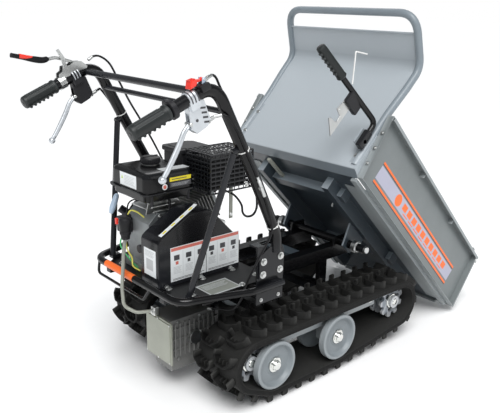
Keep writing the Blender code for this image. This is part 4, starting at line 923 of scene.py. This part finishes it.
def engine_switch():
    parts = inked("black_plastic", block((-256, 106, 484), (-223, 150, 534), 3),
                  rod((-240, 128, 514), (-258, 128, 519), 13, edge=2),
                  block((-250, 100, 524), (-230, 128, 546), 3))
    piece("switch_housing", parts, "machine", ["switch_box"])
    parts = inked("red_plastic", rod((-258.6, 128, 519.2), (-266, 128, 521.4), 8, edge=1),
                  block((-272, 123, 514), (-264, 133, 534), 2))
    piece("switch_knob", parts, "engine_switch", ["engine_switch"])
    routes = [
        ("yellow", (-246, 112, 486), (-252, 100, 440), (-244, 84, 410), (-250, 70, 388), (-236, 50, 374)),
        ("green", (-240, 132, 486), (-254, 134, 450), (-256, 120, 430), (-246, 92, 402), (-232, 70, 376)),
        ("yellow", (-242, 110, 538), (-236, 96, 560), (-222, 80, 556), (-208, 60, 540)),
        ("black", (-238, 120, 540), (-220, 124, 580), (-180, 90, 590), (-130, 60, 572))]
    parts = [(tube(smooth(route), 2.4, sides=10), colour + "_plastic") for colour, *route in routes]
    piece("engine_wires", parts, "machine", angle=60)


def belt_cover():
    hood = [(-266, DECK_TOP), (-266, 512), (-252, 524), (-168, 572), (-146, 582), (-86, 582), (-68, 576),
            (36, 470), (43, 458), (43, DECK_TOP)]
    path = rounded([(x, 0, z) for x, z in hood], 34, steps=5)
    inner = []
    for index, point in enumerate(path):
        way = (path[min(index + 1, len(path) - 1)] - path[max(index - 1, 0)]).normalized()
        inner.append(point + Vector((way.z, 0, -way.x)) * 2.5)
    rings = []
    for y, scale in ((-8, 0.0), (-90, 0.0), (-94, 0.6), (-96.2, 2.0), (-97, 4.5)):
        lift = Vector((0, y, 0))
        rings.append([point + (b - point).normalized() * scale + lift for point, b in zip(path, inner)])
    points = [p for ring in rings for p in ring]
    count = len(path)
    faces = []
    for ring in range(len(rings) - 1):
        faces += [(ring * count + i, ring * count + i + 1, (ring + 1) * count + i + 1, (ring + 1) * count + i)
                  for i in range(count - 1)]
    faces.append(tuple(range((len(rings) - 1) * count, len(rings) * count)))
    shell = skin(points, faces)
    bmesh.ops.solidify(shell, geom=shell.faces, thickness=0.0025)
    parts = [(shell, "black_paint")]
    feet = [block((x, -113, DECK_TOP), (x + 30, -92, 373.5), 0.8) for x in (-257, -131, -14)]
    parts += inked("black_paint", *feet)
    for x in (-242, -116, 1):
        parts += bolts((x, -104, 373.5), (0, 0, 1), 5.5)
    piece("belt_guard", parts, "machine", ["belt_cover"], angle=36)
    items = [(0, 0, 262, 108, "label_white"), (2, 96, 120, 106, "label_red"),
             (142, 96, 260, 106, "label_red"), (131, 0, 133, 108, "label_ink")]
    for column in range(6):
        left = 6 + column * 43.5
        items.append((left + 38, 14, left + 38.8, 92, "label_grey"))
        items.append((left + 6, 66, left + 26, 82, "label_ink"))
        items.append((left + 12, 52, left + 22, 62, "label_ink" if column % 2 else "label_red"))
        items += text_lines(left + 4, left + 33, 44, 6)
    for left, right in ((8, 124), (140, 254)):
        items += text_lines(left, right, 7, 2, 3.4, "label_ink", 1.4)
    label("cover_side_label", (-223, -97.2, 381), (1, 0, 0), (0, 0, 1), items, "machine")
    items = [(0, 0, 62, 84, "label_white"), (12, 18, 48, 52, "label_grey")] + text_lines(8, 54, 76, 5)
    label("cover_rear_label", (-266.2, -22, 400), (0, -1, 0), (0, 0, 1), items, "machine")
    way = Vector((84, 0, 48)).normalized()
    items = [(0, 0, 150, 15, "label_white")] + [(12 + 36 * index, 4, 26 + 36 * index, 11, "label_yellow")
                                              for index in range(4)]
    label("cover_top_label", Vector((-248, -88, 526.5)), way, (0, 1, 0), items, "machine")


# ---------------------------------------------------------------- handles and controls

def handles():
    parts = []
    for side in (-1, 1):
        path = [(x, side * y, z) for x, y, z in HANDLE_PATH]
        parts.append((tube(path, HANDLE_RADIUS, bend=60, sides=32), "black_paint"))
        plate = [(-44, 405), (54, 405), (54, 478), (44, 500), (-4, 500), (-44, 472)]
        parts.append((prism(plate, side * 284.3, side * 290, edge=1.5), "black_paint"))
        for x, z in ((-30, 418), (-28, 458), (38, 420), (40, 462)):
            parts += bolts((x, side * 290, z), (0, side, 0), 7.5)
    parts += inked("black_paint", rod((-255, -300, 966), (-255, 300, 966), 10),
                   rod((-190, -302, 914), (-190, 302, 914), 8))
    piece("handle_tubes", parts, "machine", ["handle_frame"], angle=40)
    for name, side in SIDES.items():
        foot = block((-246, side * 212 - 12, DECK_TOP), (-216, side * 212 + 12, 384), 1.5)
        parts = inked("black_paint", tube([(-153, side * 298, 800), (-240, side * 210, 378)], 9.5), foot,
                      rod((-160, side * 298, 803), (-140, side * 299, 808), 10, edge=2))
        parts += bolts((-231, side * 216, 384), (0, 0, 1), 5.5)
        piece("brace_tube_" + name, parts, "machine", ["handle_brace_" + name])


def grips():
    for name, side in SIDES.items():
        rings = [(-466, 12), (-465, 16), (-462, 18.6), (-456, 19.5), (-374, 19), (-371, 19), (-369, 21.2),
                 (-364, 21.4), (-362, 20)]
        places = [handle_axis(x, side) for x, _ in rings]
        shapes = [tube(places, 0, radii=[radius for _, radius in rings], sides=40)]
        for index in range(6):
            x, y, z = handle_axis(-450 + index * 13.5, side)
            low = z - GRIP_RADIUS + 2
            shapes.append(pin((x + 6, y, low), 10, 4, sides=16, edge=2))
        for turn in range(-3, 4):
            angle = math.radians(turn * 20)
            rise = math.cos(angle)
            lift = Vector((ACROSS_X * rise, side * math.sin(angle), ACROSS_Z * rise)) * 19
            shapes.append(rod(handle_axis(-452, side) + lift, handle_axis(-380, side) + lift, 1.2, sides=8))
        parts = inked("grip_rubber", *shapes)
        parts.append((rod(handle_axis(-467, side), handle_axis(-465, side), 4, sides=16), "label_ink"))
        piece("rubber_grip_" + name, parts, "machine", ["handle_grip_" + name], angle=50)


def perches():
    body = [(-310, 944), (-300, 880), (-282, 868), (-250, 884), (-240, 902), (-262, 953), (-284, 956)]
    mouth = [(-332, 905), (-300, 868), (-290, 874), (-288, 902), (-306, 920), (-332, 930)]
    for name, side in SIDES.items():
        y = side * LEVER_Y
        ink = "aluminium" if side < 0 else "black_plastic"
        piece("lever_housing_" + name, [(prism(body, y - 11.5, y + 11.5, edge=2.5), ink)], "machine",
              ["lever_perch_" + name], cuts=[prism(mouth, y - 7.5, y + 7.5)])
        saddle = prism(handle_outline(-312, -282, -1, 26), y - 20, y + 20, edge=3)
        clamp = rod(handle_axis(-309, side), handle_axis(-286, side), HANDLE_RADIUS + 3.5, sides=36, edge=1.2)
        parts = inked(ink, saddle, clamp)
        parts += inked("zinc", rod((-250, y, 891), (-224, y, 903), 5, edge=1),
                       rod((-246, y, 893), (-238, y, 896.5), 8, edge=1.5, sides=8),
                       pin((-301, y, 893), 13, 5, edge=1))
        stripes = "label_ink" if side < 0 else "aluminium"
        for index in range(4):
            x, z = -262 + index * 4, 930 - index * 12
            parts.append((block((x - 12, y + side * 10.8, z), (x + 4, y + side * 12, z + 5)), stripes))
        parts.append((rod((-284, y + side * 11, 902), (-284, y + side * 12.4, 902), 4), stripes))
        for index in range(3):
            spot = handle_axis(-306 + 9 * index, side)
            parts.append((rod(spot, spot + Vector((3, 0, 1.2)), HANDLE_RADIUS + 4.6, sides=36), stripes))
        piece("lever_clamp_" + name, parts, "machine")
        path = smooth([(-300, y, 892), (-316, y, 874), (-330, y, 846), (-346, y, 818), (-366, y, 786),
                       (-380, y, 766)], 4)
        count = len(path)
        radii = [6.4 + 1.6 * math.sin(math.pi * index / count) for index in range(count)]
        shapes = [tube(path, 0, radii=radii, sides=20, flat=0.75)]
        for across in (-3.8, 3.8):
            ridge = [point + Vector((4.2, across, 2.9)) for point in path[2:-3]]
            shapes.append(tube(ridge, 2.1, sides=10))
        ball = [(2, -9), (6, -8), (9, -5), (10, 0), (9, 5), (6, 8), (2, 9)]
        shapes.append(turned(ball, (-382, y, 763), sides=32))
        lever = "steering_lever_" + name
        piece("squeeze_lever_" + name, inked("aluminium", *shapes), lever, [lever], angle=50)


def clutch_control():
    parts = inked("zinc", refined("clutch_bracket", 1.2), rod((-288, 288, 993), (-288, 312, 993), 5, edge=1))
    piece("clutch_mount", parts, "machine", ["clutch_bracket"])
    y = 300
    arm = smooth([(-278, y, 993), (-290, y, 994), (-318, y, 1003), (-352, y, 1012), (-378, y, 1009)], 5)
    handle = smooth([(-376, y, 1009), (-382, y, 1009), (-400, y, 1007), (-440, y, 1014), (-484, y, 1023.5),
                     (-491.5, y, 1025)], 5)
    count = len(handle)
    radii = [8 + 2 * math.sin(math.pi * min(1, i / count * 1.6)) - 1.5 * i / count for i in range(count)]
    radii[0] = radii[-1] = 5
    radii[-2] = 7
    inlay = [point + Vector((0, 0, 1.6)) for point in handle[4:-6]]
    parts = [(tube(arm, 5, sides=18, flat=0.7), "zinc"),
             (tube(handle, 0, radii=radii, sides=24, flat=0.8), "black_plastic"),
             (tube(inlay, 7.4, sides=24, flat=0.9), "red_plastic")]
    piece("clutch_handle", parts, "clutch_lever", ["clutch_lever"], angle=50)


def throttle_control():
    y = -302
    parts = [(prism(handle_outline(-272, -244, 1, 21), y - 21, y + 13, edge=5), "black_plastic")]
    parts += [(block((-267, y + low, 985), (-257, y + low + 3, 1006), 1), "grey_plastic") for low in (-9, 6)]
    parts += inked("zinc", pin((-262, y, 1001), 10, 2.6, edge=0.6),
                   rod((-254, -298, 996), (-241, -297, 1002), 5, edge=1))
    piece("throttle_base", parts, "machine", ["throttle_housing"])
    hub = [(3.5, -5.5), (5, -4.5), (5, 4.5), (3.5, 5.5)]
    knob = [(-305, 978), (-286, 987), (-283, 996), (-288, 1003), (-302, 999)]
    stem = [(-290, 991), (-262, 998), (-262, 1003), (-290, 1000)]
    shapes = [turned(hub, (-262, y, 1001)), prism(stem, y - 4, y + 4, edge=1),
              prism(knob, y - 12, y + 12, edge=2.5)]
    for step in range(5):
        x, z = -303 + step * 3.6, 999.3 + step * 1.0
        shapes.append(pin((x, y, z), 9, 1.1, sides=8))
    piece("throttle_knob", inked("red_plastic", *shapes), "throttle_lever", ["throttle_lever"], angle=40)
    ring = [handle_axis(x, -1) for x in (-358, -356, -346, -344)]
    spot = handle_axis(-350, -1)
    screw = rod(spot + Vector((-8, 24, 12)), spot + Vector((8, 24, 14)), 9, edge=2)
    parts = inked("black_plastic", tube(ring, 0, radii=[22, 25, 25, 22], sides=36), screw)
    piece("handle_ring", parts, "machine")


STEERING_ROUTE = [(-223, 300.5, 904.5), (-212, 305, 908), (-202, 316, 908), (-190, 324, 900),
                  (-160, 324, 860), (-128, 324, 800), (-92, 322.5, 735), (-56, 318, 665), (-28, 313, 600),
                  (-20, 310, 550), (-58, 302, 480), (-66, 280, 430), (-72, 262, 385), (-80, 252, 340),
                  (-90, 225, 300), (-100, 170, 286), (-106, 125, 270)]
CABLE_ROUTES = {
    "steering_cable_right": [(x, -y, z) for x, y, z in STEERING_ROUTE],
    "steering_cable_left": STEERING_ROUTE,
    "clutch_cable": [(-252, 289, 1002), (-236, 290, 1012), (-212, 288, 1012), (-185, 278, 990),
                     (-158, 275, 940), (-120, 274, 868), (-80, 270, 800), (-40, 255, 720), (0, 232, 620),
                     (25, 190, 520), (42, 110, 440), (36, 40, 410), (30, 0, 404), (22, -29, 403)],
    "throttle_cable": [(-244, -298, 1002), (-224, -292, 1008), (-204, -284, 1000), (-188, -279, 978),
                       (-168, -278, 944), (-146, -279, 900), (-118, -279, 848), (-90, -279, 796),
                       (-72, -279, 738), (-58, -277.5, 690), (-48, -275.5, 650), (-42, -268, 618),
                       (-36, -245, 592), (-24, -205, 576), (0, -160, 572), (30, -118, 582), (44, -66, 598),
                       (40, -20, 604), (34, 20, 606), (26, 50, 607), (18, 80, 607), (12, 96, 604)],
}


def cables():
    for name, route in CABLE_ROUTES.items():
        path = smooth(route, 5)
        parts = [(tube(path, 3.3, sides=14), "cable_sheath")]
        for end, inward in ((0, 4), (-1, -5)):
            parts.append((rod(path[end], path[inward], 4.6, sides=16, edge=1), "zinc"))
        piece("sheath_" + name, parts, "machine", [name], angle=60)
    parts = []
    for side, first, share in ((-1, 1, 0.74), (-1, 2, 0.86), (1, 1, 0.66)):
        start, end = Vector(HANDLE_PATH[first]), Vector(HANDLE_PATH[first + 1])
        spot = start.lerp(end, share)
        spot.y *= side
        way = end - start
        way.y *= side
        way.normalize()
        band = tube([spot - way * 1.3, spot + way * 1.3], 18.4, sides=36)
        low, high = spot + Vector((-2.5, side * 16, -2.5)), spot + Vector((3, side * 21, 2.5))
        parts += inked("white_plastic", band, block(low, high, 1))
    piece("cable_ties", parts, "machine")
    parts = inked("zinc", rod((-84, -322, 720), (-58, -318.5, 669), 5.4, edge=1.5),
                  rod((-90, -322.5, 731), (-84, -322, 720), 3.9),
                  rod((-74, -320.5, 700), (-70, -320, 692), 7.5, sides=6))
    piece("cable_adjuster", parts, "machine")


# ---------------------------------------------------------------- box

def panel_point(distance):
    """A point on the rear panel's upper part, which leans back to the operator."""
    return PANEL_X - math.sin(PANEL_LEAN) * distance, BEND_Z + math.cos(PANEL_LEAN) * distance


def rear_panel():
    top_x, top_z = panel_point(SHEET_LENGTH)
    line = [(BED_REAR - 0.3, 298, BED_Z), (PANEL_X, 298, BED_Z + 11), (PANEL_X, 289, BED_Z + 230),
            (PANEL_X, 289, BEND_Z), (top_x, 284, top_z)]
    path = rounded(line[:3], 5, steps=3) + rounded(line[2:], 46, steps=10)[1:]
    rings = [[(x, -y, z), (x, y, z), (x - 2.5, y, z + 0.8), (x - 2.5, -y, z + 0.8)] for x, y, z in path]
    legs = []
    end_x, end_z = panel_point(LOOP_LENGTH)
    for side in (-1, 1):
        leg = [(PANEL_X + 3, side * 285, BED_Z + 27), (PANEL_X + 3, side * 285, BED_Z + 240),
               (PANEL_X + 2, side * 295, BED_Z + 350), (PANEL_X + 1, side * 298, BEND_Z),
               (end_x + 1, side * 293, end_z)]
        legs += leg if side < 0 else leg[::-1]
    stop = block((PANEL_X - 44, -271, BED_Z + 84), (PANEL_X - 1, -265, BED_Z + 142), 1.5)
    hem = rod((top_x - 4, -283, top_z - 1), (top_x - 4, 283, top_z - 1), 3.2, sides=12)
    parts = inked("grey_paint", rings_to_mesh(rings), tube(legs, 13, bend=70, sides=32), stop, hem)
    outline = [(PANEL_X, BED_Z + 11), (BED_REAR - 1, BED_Z + 1), (BED_REAR + 8, BED_Z + 12),
               (PANEL_X + 4, BED_Z + 150), (PANEL_X, BED_Z + 150)]
    for side in (-1, 1):
        plate = block((PANEL_X - 3, side * 262, BED_Z + 32), (PANEL_X + 3, side * 284, BED_Z + 190), 1)
        parts += inked("grey_paint", plate, prism(outline, side * 296.8, side * 299.6))
        for z in (BED_Z + 60, BED_Z + 150):
            parts += bolts((PANEL_X - 3, side * 272, z), (-1, 0, 0), 5)
        rail_end = (BED_REAR + BED_LENGTH - 12, side * 298.5, BED_Z - 1)
        parts.append((block((BED_REAR - 1, side * 275, BED_Z - 13), rail_end, 1.5), "side_paint"))
    piece("tall_panel", parts, "dump_box", ["rear_panel"], matrix=TIPPED, angle=30)


def box_parts():
    # the floor's faces turned away from BOX_LIT get the dark finish: painted shade on the box's underside
    floor = [(refined("box_floor", 1.4), ("grey_paint", "dark_frame", BOX_LIT))]
    piece("bed_floor", floor, "dump_box", ["box_floor"])
    piece("gate_pan", [(refined("front_gate", 1.2), "side_paint")], "front_gate", ["front_gate"])
    hook = tube([(420, -120, 436), (372, -120, 436), (360, -120, 420), (366, -120, 408)], 4, bend=8, sides=14)
    stay = block((188, 92, 430), (349, 108, 440), 1)
    piece("bed_hook", [(hook, "zinc"), (stay, "strap_olive")], "dump_box", matrix=TIPPED)
    for name, side in SIDES.items():
        parts = [(refined("side_panel_" + name, 1.2), "side_paint")]
        for z in (505, 560, 615):
            heads = bolt((184 - (z - BED_Z) * 0.158 - 0.4, side * 314, z), (-1, 0, 0), 4)
            parts += inked("zinc", *[moved(shape, LEVEL_TO_REST) for shape in heads])
        lip = [block((160, side * 303.4, SIDE_TOP - 2.6), (1050, side * 328, SIDE_TOP), 0.8),
               block((160, side * 325.5, SIDE_TOP - 11), (1050, side * 328, SIDE_TOP - 1), 0.8)]
        lip += [block((x, side * 303.4, SIDE_TOP - 24), (x + 3, side * 322, SIDE_TOP - 2.8), 0.5)
                for x in (460, 760)]
        parts += inked("side_paint", *[moved(shape, LEVEL_TO_REST) for shape in lip])
        piece("side_pan_" + name, parts, "side_panel_" + name, ["side_panel_" + name])
        latch = "gate_latch_" + name
        piece("toggle_" + name, [(refined(latch, 1.0), "zinc")], latch, [latch])
        start = 1000 if side > 0 else 260
        items = [(0, 0, 700, 50, "label_lavender"), (0, 57, 700, 65, "label_orange"),
                 (0, -15, 700, -7, "label_orange"), (0, 54, 700, 57, "label_ink"),
                 (0, -18, 700, -15, "label_ink"), (arc((170, 25), 22, 0, 340, 17), "label_orange")]
        items += [(210 + index * 44, 17, 242 + index * 44, 41, "label_orange") for index in range(10)]
        items += [(230 + index * 50, 7, 268 + index * 50, 11, "label_orange") for index in range(8)]
        label("side_stripes_" + name, (start, side * 303.35, 506), (-side, 0, 0), (0, 0, 1), items,
              "side_panel_" + name, matrix=TIPPED)


def dump_lever():
    x0, z0 = LEVER_PIVOT
    end, bend = Vector((x0 - 314, -226, z0 + 100)), Vector((x0 + 4, -286, z0 + 79))
    way = (bend - end).normalized()
    parts = [(tube([(x0, -286, z0 - 15), bend, end], 9.5, bend=26), "black_paint"),
             (rod((x0, -292, z0), (x0, -262, z0), 5, edge=1), "zinc"),
             (rod((x0, -297, z0), (x0, -290, z0), 9, edge=2), "zinc"),
             (block((x0 - 13, -297, z0 - 24), (x0 + 13, -276, z0 + 40), 4), "black_paint")]
    rings = [(-4, 7), (-2, 12), (0, 14.5), (8, 15.5), (112, 15.5), (118, 17), (120, 17), (124, 14)]
    places = [end + way * step for step, _ in rings]
    shapes = [tube(places, 0, radii=[radius for _, radius in rings], sides=36)]
    for index in range(6):
        x, y, z = end + way * (16 + index * 16)
        shapes.append(pin((x, y, z - 13.5), 8, 4.5, sides=16, edge=2))
    for turn in range(-2, 3):
        angle = math.radians(turn * 24)
        lift = Vector((0, math.sin(angle), math.cos(angle))) * 15
        shapes.append(rod(end + way * 12 + lift, end + way * 108 + lift, 1.2, sides=8))
    parts += inked("grip_rubber", *shapes)
    rise = Vector((0, 0, 8.5))
    parts += [(rod(end - way * 4.6, end - way * 3, 5), "label_ink"),
              (rod(end + way * 180 + rise, end + way * 258 + rise, 2.6, sides=16), "label_white"),
              (block((x0 - 141, -272, z0 + 41), (x0 - 73, -254, z0 + 84), 5), "black_plastic")]
    hook = [(-141, 45), (-104, 45), (-106, -28), (-107, -70), (-156, -37), (-150, -30), (-128, -28),
            (-120, -20), (-122, 0), (-149, 5)]
    parts.append((prism([(x0 + x, z0 + z) for x, z in hook], -262, -258, edge=0.8), "zinc"))
    parts.append((rod((x0 - 136, -264, z0 + 12), (x0 - 136, -252, z0 + 12), 4, edge=1), "zinc"))
    rod_path = [(-27, -267, 650), (-84, -267, 716), (-92, -267, 724), (-46, -267, 756)]
    parts.append((tube(rod_path, 2.2, bend=5, sides=12), "white_plastic"))
    piece("dump_handle", parts, "dump_lever", ["dump_lever"], matrix=TIPPED, angle=40)


# ---------------------------------------------------------------- stage

def lamp(name, kind, place, target, energy):
    """A light at a place in metres, turned to a target."""
    data = bpy.data.lights.new(name, kind)
    data.energy = energy
    item = bpy.data.objects.new(name, data)
    item.location = place
    item.rotation_euler = (Vector(target) - Vector(place)).to_track_quat("-Z", "Y").to_euler()
    bpy.context.scene.collection.objects.link(item)
    return data


def stage():
    floor_mesh = bpy.data.meshes.new("floor")
    corners = [(x * FLOOR_REACH, y * FLOOR_REACH, 0) for x, y in ((-1, -1), (1, -1), (1, 1), (-1, 1))]
    floor_mesh.from_pydata(corners, [], [(0, 1, 2, 3)])
    floor = bpy.data.objects.new("floor", floor_mesh)
    bpy.context.scene.collection.objects.link(floor)
    pale = finish("pale_floor", (0.97, 0.97, 0.97), 1.0, specular=0.0, grain=3, bump=0.0, spread=0.01)
    floor_mesh.materials.append(pale)
    world = bpy.data.worlds.new("studio")
    bpy.context.scene.world = world
    world.use_nodes = True
    tree = world.node_tree
    sky = tree.nodes["Background"]
    sky.inputs["Color"].default_value = (0.94, 0.97, 1.0, 1)
    sky.inputs["Strength"].default_value = SKY_LIGHT
    seen = node(tree, "ShaderNodeBackground", Color=(1.0, 1.0, 1.0, 1), Strength=1.0)
    rays = node(tree, "ShaderNodeLightPath")
    choice = node(tree, "ShaderNodeMixShader")
    tree.links.new(rays.outputs["Is Camera Ray"], choice.inputs["Fac"])
    tree.links.new(sky.outputs["Background"], choice.inputs[1])
    tree.links.new(seen.outputs["Background"], choice.inputs[2])
    tree.links.new(choice.outputs["Shader"], tree.nodes["World Output"].inputs["Surface"])
    sun = lamp("sun", "SUN", (-1.5, -2.2, 4.2), (0, 0, 0), SUN_LIGHT)
    sun.angle = math.radians(40)
    lights = [("key", (-2.6, -2.2, 3.4), 2.2, 30), ("rim", (1.8, 2.6, 3.2), 2.0, 22),
              ("fill", (1.6, -3.4, 1.8), 2.0, 10)]
    for name, place, size, energy in lights:
        data = lamp(name, "AREA", place, (0, 0, 0.5), energy)
        data.shape = "DISK"
        data.size = size
    bpy.context.scene.view_settings.view_transform = "Standard"


def camera():
    yaw, pitch, roll = (math.radians(angle) for angle in (CAMERA_YAW, CAMERA_PITCH, CAMERA_ROLL))
    ahead = Vector((math.cos(yaw) * math.cos(pitch), math.sin(yaw) * math.cos(pitch), math.sin(pitch)))
    right = Vector((math.sin(yaw), -math.cos(yaw), 0))
    up = right.cross(ahead)
    level_right = math.cos(roll) * right + math.sin(roll) * up
    level_up = math.cos(roll) * up - math.sin(roll) * right
    data = bpy.data.cameras.new("camera")
    data.sensor_width = 36
    data.lens = FOCAL / COLUMNS * data.sensor_width
    item = bpy.data.objects.new("camera", data)
    bpy.context.scene.collection.objects.link(item)
    turn = Matrix((level_right, level_up, -ahead)).transposed().to_4x4()
    item.matrix_world = Matrix.Translation(SHIFT + Vector(CAMERA_AT) * MM) @ turn
    bpy.context.scene.camera = item


for build in (camera, stage, tracks, chassis, deck, bumper, gearbox, shift_lever, drive, crankcase, cylinder,
              fuel_tank, air_cleaner, muffler, recoil_starter, engine_switch, belt_cover, handles, grips,
              perches, clutch_control, throttle_control, cables, rear_panel, box_parts, dump_lever):
    build()
